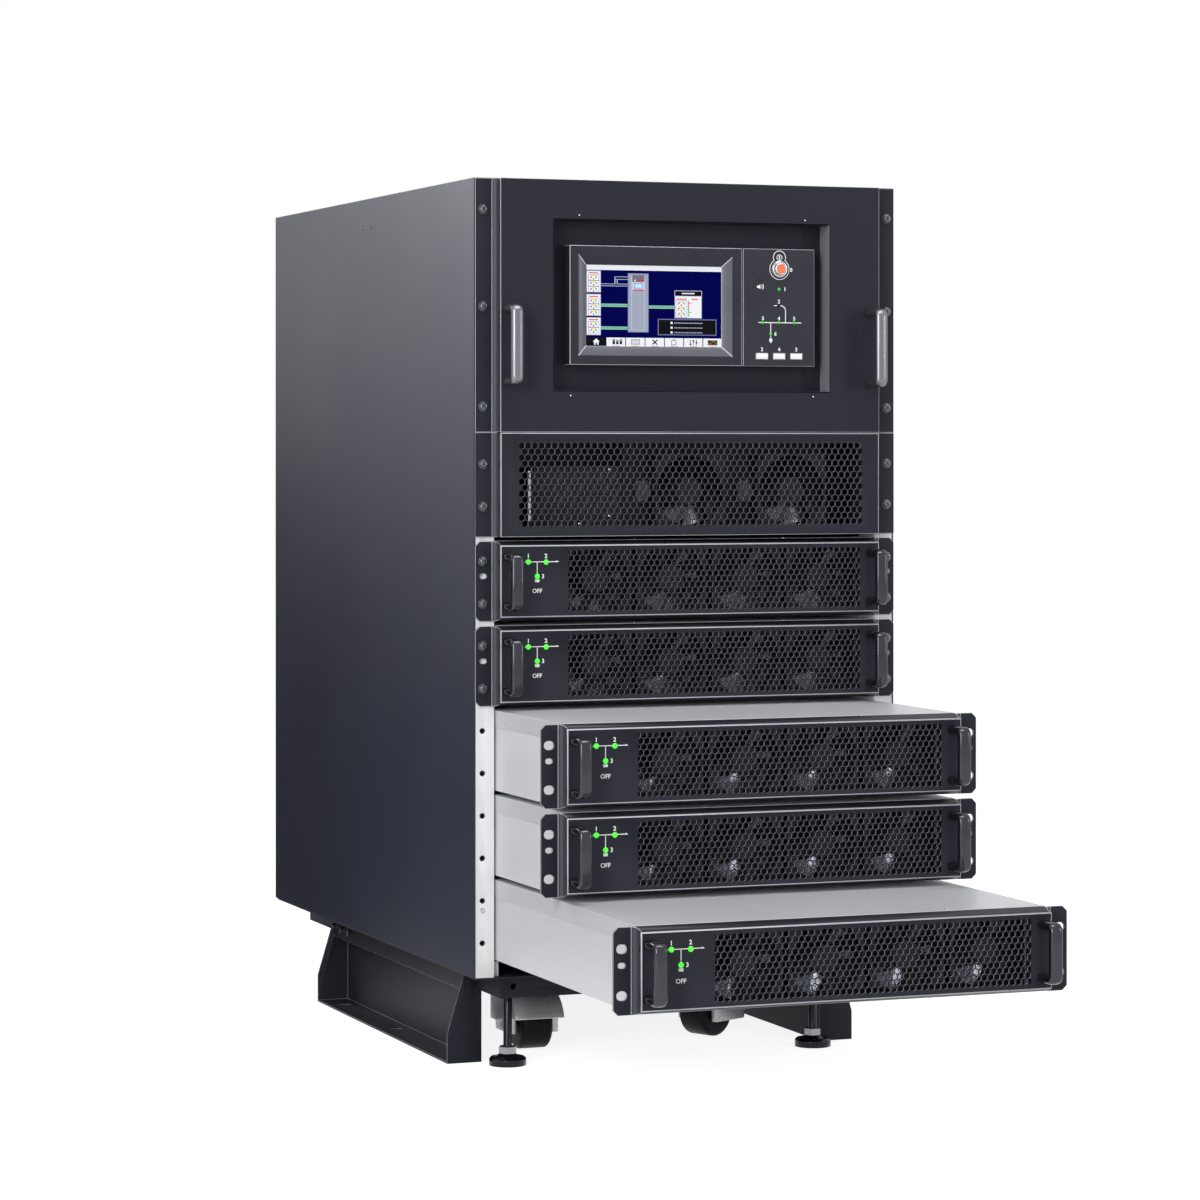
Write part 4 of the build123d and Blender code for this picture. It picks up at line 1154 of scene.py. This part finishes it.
for plain in ((0.328, 0.130, 0.427, 0.790, "pipe", 5), (0.332, 0.305, 0.423, 0.785, "grey", 6),
              (0.334, 0.120, 0.423, 0.205, "darkGrey", 6), (0.350, 0.178, 0.360, 0.196, "white", 7),
              (0.368, 0.178, 0.416, 0.196, "red", 7), (0.340, 0.296, 0.420, 0.310, "red", 7)):
    picture.box(*plain)
picture.framed(0.350, 0.222, 0.408, 0.282, "sky", "edge", 6)
picture.framed(0.646, 0.300, 0.850, 0.640, "white", "edge", 3)
picture.framed(0.646, 0.300, 0.850, 0.372, "black", "pipe", 5)
for plain in ((0.700, 0.328, 0.795, 0.342, "white", 7), (0.660, 0.398, 0.735, 0.410, "red", 6),
              (0.772, 0.398, 0.820, 0.410, "red", 6)):
    picture.box(*plain)
for index in range(3):
    picture.gauge(0.697, 0.462 + index * 0.066, 0.042, 6)
for u0, v0, u1, v1, colour in ((0.748, 0.425, 0.754, 0.535, "red"), (0.748, 0.535, 0.754, 0.615, "green"),
                               (0.754, 0.448, 0.772, 0.456, "red"), (0.754, 0.560, 0.772, 0.568, "green")):
    picture.box(u0, v0, u1, v1, colour, 6)
picture.framed(0.522, 0.648, 0.958, 0.845, "black", "edge", 10, 0.006)
for index in range(3):
    v = 0.682 + index * 0.058
    picture.box(0.616, v, 0.632, v + 0.026, "white", 12)
    for dot in range(18):
        start = 0.645 + dot * 0.0118
        picture.box(start, v + 0.008, start + 0.0065, v + 0.020, "pipe", 12)
for tab in range(7):
    left, right = tab / 7 + 0.003, (tab + 1) / 7 - 0.003
    middle = (left + right) / 2
    picture.box(left, 0.880, right, 1.0, "white" if tab else "black", 3)
    if tab:
        picture.box(middle - 0.028, 0.978, middle + 0.028, 0.986, "red", 4)
picture.shape([(0.071, 0.893), (0.096, 0.930), (0.046, 0.930)], "white", 4)
picture.box(0.054, 0.930, 0.088, 0.968, "white", 4)
picture.box(0.066, 0.945, 0.076, 0.968, "black", 5)
for index in range(3):
    u, v = 0.190 + index * 0.026, 0.898 + 0.010 * (index % 2)
    picture.box(u, v, u + 0.018, 0.960, "black", 4)
    picture.box(u + 0.004, v + 0.007, u + 0.014, v + 0.022, "pipe", 5)
    picture.box(0.332, 0.914 + index * 0.015, 0.383, 0.919 + index * 0.015, "darkGrey", 6)
    u, v = 0.762 + index * 0.022, (0.945, 0.905, 0.925)[index]
    picture.box(u, 0.896, u + 0.005, 0.964, "black", 4)
    picture.box(u - 0.005, v, u + 0.010, v + 0.014, "black", 5)
picture.framed(0.325, 0.900, 0.390, 0.962, "white", "darkGrey", 4)
for points in (((0.478, 0.900), (0.486, 0.896), (0.522, 0.955), (0.513, 0.962)),
               ((0.516, 0.897), (0.524, 0.903), (0.487, 0.962), (0.479, 0.955))):
    picture.shape(points, "black", 4)
picture.framed(0.622, 0.902, 0.658, 0.962, "white", "teal", 4)
picture.box(0.634, 0.896, 0.647, 0.910, "teal", 6)
picture.framed(0.893, 0.900, 0.966, 0.962, "black", "darkGrey", 4)
for colour, phase in (("green", 0.0), ("red", 1.6)):
    for i in range(8):
        u0, u1 = 0.898 + i * 0.008, 0.906 + i * 0.008
        v0, v1 = (0.931 + 0.018 * sin((i + k) * 0.9 + phase) for k in (0, 1))
        picture.shape([(u0, v0 - 0.004), (u1, v1 - 0.004), (u1, v1 + 0.004), (u0, v0 + 0.004)], colour, 6)
newPiece("display_picture", picture.mesh(), "cabinet", finish["picture"])

print("fans")
fan = {"half": 40.0, "corner": 3.0, "bore": 38.0, "flange": 3.0, "deep": 25.0, "hub": 15.0, "blades": 7,
       "root": 14.4, "tip": 36.4, "chord": (18.0, 25.0), "pitch": (51.0, 60.0), "sweep": -8.0, "camber": 0.045,
       "thick": 1.1, "rows": 6, "columns": 6, "turned": 34.6, "inset": 1.5, "length": 20.0, "holeInset": 4.4,
       "holeRadius": 2.1, "ductWall": 1.2, "motor": 15.5, "plate": 2.6, "arms": 4, "firstArm": 30.0, "armHalf": 1.8}


def fanHub(bm):
    hub, length = fan["hub"], fan["length"]
    addTurned(bm, [(0, -length), (hub, -length), (hub, -1.6), (hub - 0.7, -0.4), (hub - 2.0, 0), (hub - 3.2, 0),
                   (hub - 3.4, -0.5), (3.0, -0.5), (2.7, -0.9), (0, -0.9)], Vector((0, fan["inset"] * mm, 0)), 32)


def fanBlades(bm):
    # swept, twisted and cambered blades
    length, inset = fan["length"], fan["inset"]
    sheets = []
    for number in range(fan["blades"]):
        grid = []
        for i in range(fan["rows"] + 1):
            share = i / fan["rows"]
            radius, chord, pitch = (low + (high - low) * share for low, high in
                                    ((fan["root"], fan["tip"]), fan["chord"], fan["pitch"]))
            pitch = radians(pitch)
            start = 2 * pi * number / fan["blades"] + radians(fan["turned"] + fan["sweep"] * share ** 1.3)
            row = []
            for j in range(fan["columns"] + 1):
                along = j / fan["columns"] - 0.5
                arch = fan["camber"] * chord * (1 - 4 * along * along)
                deep = inset + length / 2 + along * chord * cos(pitch) + arch * sin(pitch)
                a = start + (arch * cos(pitch) - along * chord * sin(pitch)) / radius
                row.append(bm.verts.new(Vector((radius * cos(a), deep, radius * sin(a))) * mm))
            grid.append(row)
        for i in range(fan["rows"]):
            for j in range(fan["columns"]):
                sheets.append(bm.faces.new((grid[i][j], grid[i][j + 1], grid[i + 1][j + 1], grid[i + 1][j])))
    bmesh.ops.solidify(bm, geom=sheets, thickness=fan["thick"] * mm)
    bmesh.ops.recalc_face_normals(bm, faces=bm.faces)


def fanFrame(bm):
    # the moulded frame, with its face in the plane of the origin
    origin = spot(0, 0, 0)
    half, inset, bore, deep = fan["half"], fan["holeInset"], fan["bore"], fan["deep"]
    corner, wall, motor, plate = half - fan["corner"], fan["ductWall"], fan["motor"], fan["plate"]
    outline = []
    for step, (sx, sz) in enumerate(((1, 1), (-1, 1), (-1, -1), (1, -1))):
        for i in range(4):
            a = step * pi / 2 + i * pi / 6
            outline.append((sx * corner + fan["corner"] * cos(a), sz * corner + fan["corner"] * sin(a)))
    holes = [ringLoop(0, 0, bore, 40)]
    holes += [ringLoop(sx * (half - inset), sz * (half - inset), fan["holeRadius"], 10)
              for sx in (-1, 1) for sz in (-1, 1)]
    for y in (0, deep - fan["flange"]):
        addPlate(bm, outline, holes, y, fan["flange"])
    addTurned(bm, [(bore, -0.5), (bore + wall, -0.5), (bore + wall, 0.5 - deep), (bore, 0.5 - deep), (bore, -0.5)],
              origin, 40)
    addTurned(bm, [(0, -deep), (motor, -deep), (motor, plate - deep), (0, plate - deep)], origin)
    for number in range(fan["arms"]):
        about = radians(fan["firstArm"] + 360 / fan["arms"] * number)
        place = Matrix.Translation(origin) @ Matrix.Rotation(about, 4, "Y")
        addCorners(bm, Vector((motor - 1.5, deep - plate, -fan["armHalf"])) * mm,
                   Vector((bore + 1, deep, fan["armHalf"])) * mm, place)
    bmesh.ops.recalc_face_normals(bm, faces=bm.faces)
    bmesh.ops.translate(bm, vec=-origin, verts=bm.verts)


frameShape = template("fanFrameTemplate", fanFrame)
hubShape = template("fanHubTemplate", fanHub)
bladeShape = template("fanBladeTemplate", fanBlades)
moduleFans = {"middle": 26.8, "pitch": 86.5, "depth": 8.0}
for name in moduleNames:
    centres = [spot(moduleFans["middle"] + (index - 1.5) * moduleFans["pitch"], moduleFans["depth"] - pulledOut(name),
                    moduleDrop(name)) for index in range(4)]
    frames = scatter(f"{name}_fan_frames", name, frameShape, "fan", centres, turning=0.0)
    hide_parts(f"{name}_fans")
    scatter(f"{name}_fan_blades", name, bladeShape, "blade", centres, turning=0.0)
    scatter(f"{name}_fan_hubs", name, hubShape, "hub", centres, turning=0.0)
panelFans = {"x": (4.0, 122.5), "depth": 6.0, "drop": 329.5}
centres = [spot(x, panelFans["depth"], panelFans["drop"]) for x in panelFans["x"]]
scatter("panel_fan_frames", "cabinet", frameShape, "fan", centres, turning=0.0)
for centre, side in zip(centres, ("left", "right")):
    blades = scatter(f"fan_rotor_{side}_blades", f"fan_{side}", bladeShape, "blade", [centre], turning=0.0)
    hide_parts(f"fan_rotor_{side}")
    scatter(f"fan_rotor_{side}_hub", f"fan_{side}", hubShape, "hub", [centre], turning=0.0)

print("fan tray")
tray = {"wall": 1.5, "half": 217.0, "near": 2.0, "deep": 90.0, "mount": (-64.0, 170.0), "supply": (-170.0, -60.0),
        "supplyY": (34.0, 86.0), "supplyTop": 303.4, "gap": 1.6, "mountBore": 39.0, "mountSheet": 1.2,
        "flange": ((-1.0, 2.2), (-1.5, 1.2), (4.0, 12.0)),
        "plugs": (((-55.0, -43.0), (20.0, 29.0), (318.0, 340.0)), ((-52.0, -41.0), (17.5, 20.0), (322.0, 336.0))),
        "screws": ((-78.0, 304.0), (-78.0, 354.0), (-112.0, 362.0), (-48.0, 276.5), (146.0, 276.5), (172.0, 300.0),
                   (172.0, 350.0), (54.0, 366.0))}
trayLow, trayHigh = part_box("fan_tray")
trayTop, trayBottom = dropOf(trayHigh.z), dropOf(trayLow.z)


def trayParts(bm):
    wall, half, near, deep = (tray[key] for key in ("wall", "half", "near", "deep"))
    inside = (trayTop + wall, trayBottom - wall)
    for drop in ((trayTop, inside[0]), (inside[1], trayBottom)):
        addSpan(bm, (-half, half), (near, deep), drop)
    addSpan(bm, (-half, half), (deep - wall, deep), inside)
    for side in (-1, 1):
        addSpan(bm, sorted((side * half, side * (half - wall))), (near, deep - wall), inside)


def mountParts(bm):
    # the sheet that carries the two fans, with a round opening behind each
    holes = [ringLoop(x, panelFans["drop"], tray["mountBore"], 40) for x in panelFans["x"]]
    addPlate(bm, boxLoop(*tray["mount"], trayTop + tray["gap"], trayBottom - tray["gap"]), holes,
             panelFans["depth"] + fan["deep"], tray["mountSheet"])


def supplyParts(bm):
    # a supply box behind a perforated face
    near, far = tray["supplyY"]
    addSpan(bm, tray["supply"], (near + 1.4, far), (tray["supplyTop"], trayBottom - tray["gap"]))


def flangeParts(bm):
    x, near = tray["supply"][0], tray["supplyY"][0]
    across, behind, inset = tray["flange"]
    addSpan(bm, (x + across[0], x + across[1]), (near + behind[0], near + behind[1]),
            (tray["supplyTop"] + inset[0], trayBottom - inset[1]))


def plugParts(bm):
    # a wire plug beside each fan
    for x in panelFans["x"]:
        for across, behind, drop in tray["plugs"]:
            addSpan(bm, (x + across[0], x + across[1]), behind, drop)


ease(made("fan_tray_sheet", trayParts, "cabinet", "inner", replaces=["fan_tray"], slot="black_plastic"), 0.4)
for name, build, look, slot, width in (("fan_mount", mountParts, "front", "front_paint", 0.2),
                                       ("supply_box", supplyParts, "inner", "black_plastic", 0.6),
                                       ("supply_flange", flangeParts, "bright", "steel", 0.3),
                                       ("fan_plugs", plugParts, "socket", "black_plastic", 0.8)):
    ease(made(name, build, "cabinet", look, slot=slot), width)
x0, x1 = tray["supply"]
supplyGrille = {"pitch": 5.0, "rowPitch": 4.33, "hole": 3.9, "sheet": 1.0, "firstX": x0 + 5.5,
                "firstDrop": tray["supplyTop"] + 5.0, "columns": 20, "rows": 14}
buildGrille("supply_grille", "cabinet", tray["supplyY"][0],
            (x0 + 1.5, x1 - 1.5, tray["supplyTop"], trayBottom - tray["gap"]), supplyGrille)
scatter("tray_screws", "cabinet", screw, "bright",
        [spot(x, panelFans["depth"] + fan["deep"], drop) for x, drop in tray["screws"][3:]], scale=0.75)
scatter("supply_screws", "cabinet", screw, "bright",
        [spot(x, tray["supplyY"][0], drop + 2.0) for x, drop in tray["screws"][:3]], scale=0.75)

print("power modules")
marks = {"lampX": (-187.0, -167.1, -177.1), "lampDrop": (402.6, 402.9, 417.8), "lampSize": 2.85, "line": 0.8,
         "lineDrop": 402.5, "lineX": (-190.8, -155.6), "branchX": -177.1, "batteryDrop": 421.0, "letter": 6.2,
         "hole": (-177.1, 439.3),
         "labels": (("1", -187.0, 396.6), ("2", -167.3, 396.6), ("3", -170.6, 417.9), ("OFF", -177.1, 433.2))}
case = {"lid": 0.45, "flange": 17.8, "front": 1.0, "rear": 2.0, "screwX": (-60.0, 113.0),
        "screwBehind": (5.5, 182.0, 358.0, 534.0),
        "sideScrews": ((168.5, 12.0), (337.0, 26.0), (387.0, 15.5), (560.0, 12.0))}


def moduleInk(bm, name):
    face = -pulledOut(name) - front["depth"]
    fall = moduleDrop(name) - firstDrop
    line, main, branch, foot = marks["line"], marks["lineDrop"] + fall, marks["branchX"], marks["batteryDrop"] + fall
    x0, x1 = marks["lineX"]
    addStroke(bm, [(x0, main), (x1, main)], line, face)
    addInk(bm, [(x1, main - 1.3), (x1 + 3.0, main + 0.35), (x1, main + 0.4)], face)
    addStroke(bm, [(branch, main), (branch, foot)], line, face)
    addInk(bm, [(branch - 2.7, foot), (branch + 2.7, foot), (branch + 2.2, foot + 2.9), (branch - 2.2, foot + 2.9)],
           face)
    for words, px, pz in marks["labels"]:
        addLetters(bm, words, px, pz + fall, marks["letter"], face)


def moduleLid(bm, name):
    # a cover that wraps over the case and down both sides, a little proud of it; its sheet is a little darker than the
    # case's, painted shade on the top
    low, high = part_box(f"{name}_chassis")
    grow, foot = case["lid"] * mm, high.z - case["flange"] * mm
    path = [(low.x, foot), (low.x, high.z), (high.x, high.z), (high.x, foot),
            (high.x + grow, foot), (high.x + grow, high.z + grow), (low.x - grow, high.z + grow), (low.x - grow, foot)]
    rows = [[bm.verts.new((px, y, pz)) for px, pz in path]
            for y in (low.y + case["front"] * mm, high.y - case["rear"] * mm)]
    for i in range(8):
        j = (i + 1) % 8
        bm.faces.new((rows[0][i], rows[0][j], rows[1][j], rows[1][i]))
    for row in rows:
        for quad in ((0, 1, 6, 7), (1, 2, 5, 6), (2, 3, 4, 5)):
            bm.faces.new([row[i] for i in quad])
    bmesh.ops.recalc_face_normals(bm, faces=bm.faces)


for name in moduleNames:
    out = pulledOut(name)
    fall = moduleDrop(name) - firstDrop
    face = -out - front["depth"]
    low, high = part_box(f"{name}_chassis")
    dress(f"{name}_chassis", "case", 0.6)
    buildHandles(f"{name}_handles", "handle", 0.6)
    ease(made(f"{name}_lid", moduleLid, name, "lid", name, slot="case"), 0.25)
    places = [Vector((x * mm, low.y + y * mm, high.z + case["lid"] * mm)) for x in case["screwX"]
              for y in case["screwBehind"]]
    scatter(f"{name}_lid_screws", name, screw, "bright", places, "up", 0.8)
    for side, way, edge in ((-1, "left", low.x), (1, "right", high.x)):
        places = [Vector((edge + side * (case["lid"] * mm if below < case["flange"] else 0), low.y + y * mm,
                          high.z - below * mm)) for y, below in case["sideScrews"]]
        scatter(f"{name}_side_screws_{way}", name, screw, "bright", places, way, 0.6)
    made(f"{name}_ink", moduleInk, name, "ink", name, slot="key")
    scatter(f"{name}_lamps", name, lamp, "green",
            [spot(x, face, drop + fall) for x, drop in zip(marks["lampX"], marks["lampDrop"])], scale=marks["lampSize"])
    # a dark disc stands in for the hole beside OFF, painted shade
    scatter(f"{name}_off_hole", name, pit, "pit", [spot(marks["hole"][0], face, marks["hole"][1] + fall)], scale=1.35)
    if out < 1:
        scatter(f"{name}_bolts", name, bolt, "bolt",
                [spot(side * rack["boltX"], -out, drop) for side in (-1, 1) for drop in boltDrops(name)])

print("feet and casters")
dress("levelling_feet", "pad", 0.4)
feet = {"x": 178.6, "behind": (75.6, 678.4), "nutFoot": 12.0}


def nutShape(bm):
    addTurned(bm, [(0, 0), (9.0, 0), (10.05, 0.6), (10.05, 7.6), (9.0, 8.2), (0, 8.2)], count=6)


nut = template("nutTemplate", nutShape)
scatter("foot_nuts", "cabinet", nut, "plated",
        [spot(side * feet["x"], y, dropOf(feet["nutFoot"] * mm)) for side in (-1, 1) for y in feet["behind"]], "up",
        turning=0.0)
for place in ("front_left", "front_right", "rear_left", "rear_right"):
    dress(f"caster_hood_{place}", "hood", 0.8, 3)
    dress(f"caster_wheel_{place}", "tyre", 1.2, 3)

for shape in templates.values():
    bpy.data.objects.remove(shape)

print("studio")
studio = {"reach": 14.0, "floorColour": (0.50, 0.50, 0.50, 1), "floorGlow": 0.87, "ambient": 0.34}
reach = studio["reach"]
floorMesh = bpy.data.meshes.new("floor")
floorMesh.from_pydata([(-reach, -reach, 0), (reach, -reach, 0), (reach, reach, 0), (-reach, reach, 0)], [],
                      [(0, 1, 2, 3)])
floor = bpy.data.objects.new("floor", floorMesh)
bpy.context.scene.collection.objects.link(floor)


def seenDirectly(tree):
    # 1 for what the camera, a mirror or glass sees, 0 for light that falls on the object
    rays = putNode(tree, "ShaderNodeLightPath").outputs
    seen = Wire(tree, rays["Is Camera Ray"]) + Wire(tree, rays["Is Glossy Ray"])
    return (seen + Wire(tree, rays["Is Transmission Ray"])).clamped()


floorLook = bpy.data.materials.new("paleFloor")
floorLook.use_nodes = True
tree = floorLook.node_tree
tree.nodes.clear()
glow = putNode(tree, "ShaderNodeEmission", None,
               {"Color": (1, 1, 1, 1), "Strength": seenDirectly(tree) * studio["floorGlow"]})
matt = putNode(tree, "ShaderNodeBsdfDiffuse", None, {"Color": studio["floorColour"]})
both = putNode(tree, "ShaderNodeAddShader", None, {0: glow.outputs[0], 1: matt.outputs[0]})
putNode(tree, "ShaderNodeOutputMaterial", None, {"Surface": both.outputs[0]})
floorMesh.materials.append(floorLook)

world = bpy.data.worlds.new("studio")
bpy.context.scene.world = world
world.use_nodes = True
tree = world.node_tree
tree.nodes.clear()
level = seenDirectly(tree) * (1 - studio["ambient"]) + studio["ambient"]
sky = putNode(tree, "ShaderNodeBackground", None, {"Color": (1, 1, 1, 1), "Strength": level})
putNode(tree, "ShaderNodeOutputWorld", None, {"Surface": sky.outputs[0]})


def softbox(name, place, target, size, power):
    data = bpy.data.lights.new(name, "AREA")
    data.shape = "RECTANGLE"
    data.size, data.size_y = size
    data.energy = power
    holder = bpy.data.objects.new(name, data)
    bpy.context.scene.collection.objects.link(holder)
    holder.location = place
    holder.rotation_euler = (Vector(target) - Vector(place)).to_track_quat("-Z", "Y").to_euler()


softboxes = {
    "keyLight": {"place": (-2.5, -2.9, 1.5), "target": (0, -0.2, 0.5), "size": (1.1, 2.5), "power": 92.0},
    "topLight": {"place": (0.2, -1.2, 2.8), "target": (0, -0.3, 0.6), "size": (1.8, 0.8), "power": 30.0},
    "rightStrip": {"place": (2.3, -2.6, 1.1), "target": (0.1, -0.4, 0.5), "size": (0.3, 1.5), "power": 13.0},
    "sideLight": {"place": (-1.7, 2.6, 2.0), "target": (-0.24, 0, 0.9), "size": (1.6, 0.9), "power": 34.0},
}
for name, values in softboxes.items():
    softbox(name, **values)

# dark cards at the left rear, seen in reflections alone, shade the lower part of the side walls
cards = {"left": -1.5, "right": -0.27, "front": 0.15, "rear": 3.0, "low": 0.004, "high": 0.60}
left, right, near, rear, low, high = cards.values()
cardMesh = bpy.data.meshes.new("card")
cardMesh.from_pydata([(left, near, low), (right, near, low), (right, rear, low), (left, rear, low),
                      (left, near, high), (left, rear, high), (right, rear, high)], [],
                     [(0, 1, 2, 3), (0, 3, 5, 4), (3, 2, 6, 5)])
card = bpy.data.objects.new("card", cardMesh)
bpy.context.scene.collection.objects.link(card)
cardMesh.materials.append(printedInk("cardBlack", (0.004, 0.004, 0.004), (0.006, 0.006, 0.006), 0.8))
card.visible_camera = False
card.visible_diffuse = False
card.visible_transmission = False
card.visible_shadow = False

# the photograph's view: a long lens from the front left, level, framed by a vertical shift
view = {"angle": 20.9, "focal": 3758.0, "across": 95.0, "ahead": 4014.0, "belowTop": 279.0, "horizon": 444.0,
        "size": 1200.0, "sensor": 36.0}
turn = radians(view["angle"])
camera = bpy.data.objects.new("camera", bpy.data.cameras.new("camera"))
bpy.context.scene.collection.objects.link(camera)
camera.location = spot(-view["across"] * cos(turn) - view["ahead"] * sin(turn),
                       view["across"] * sin(turn) - view["ahead"] * cos(turn), view["belowTop"])
camera.rotation_euler = (radians(90), 0, -turn)
camera.data.sensor_width = view["sensor"]
camera.data.lens = view["focal"] / view["size"] * view["sensor"]
camera.data.shift_y = (view["horizon"] - view["size"] / 2) / view["size"]
bpy.context.scene.camera = camera
bpy.context.scene.view_settings.view_transform = "Standard"
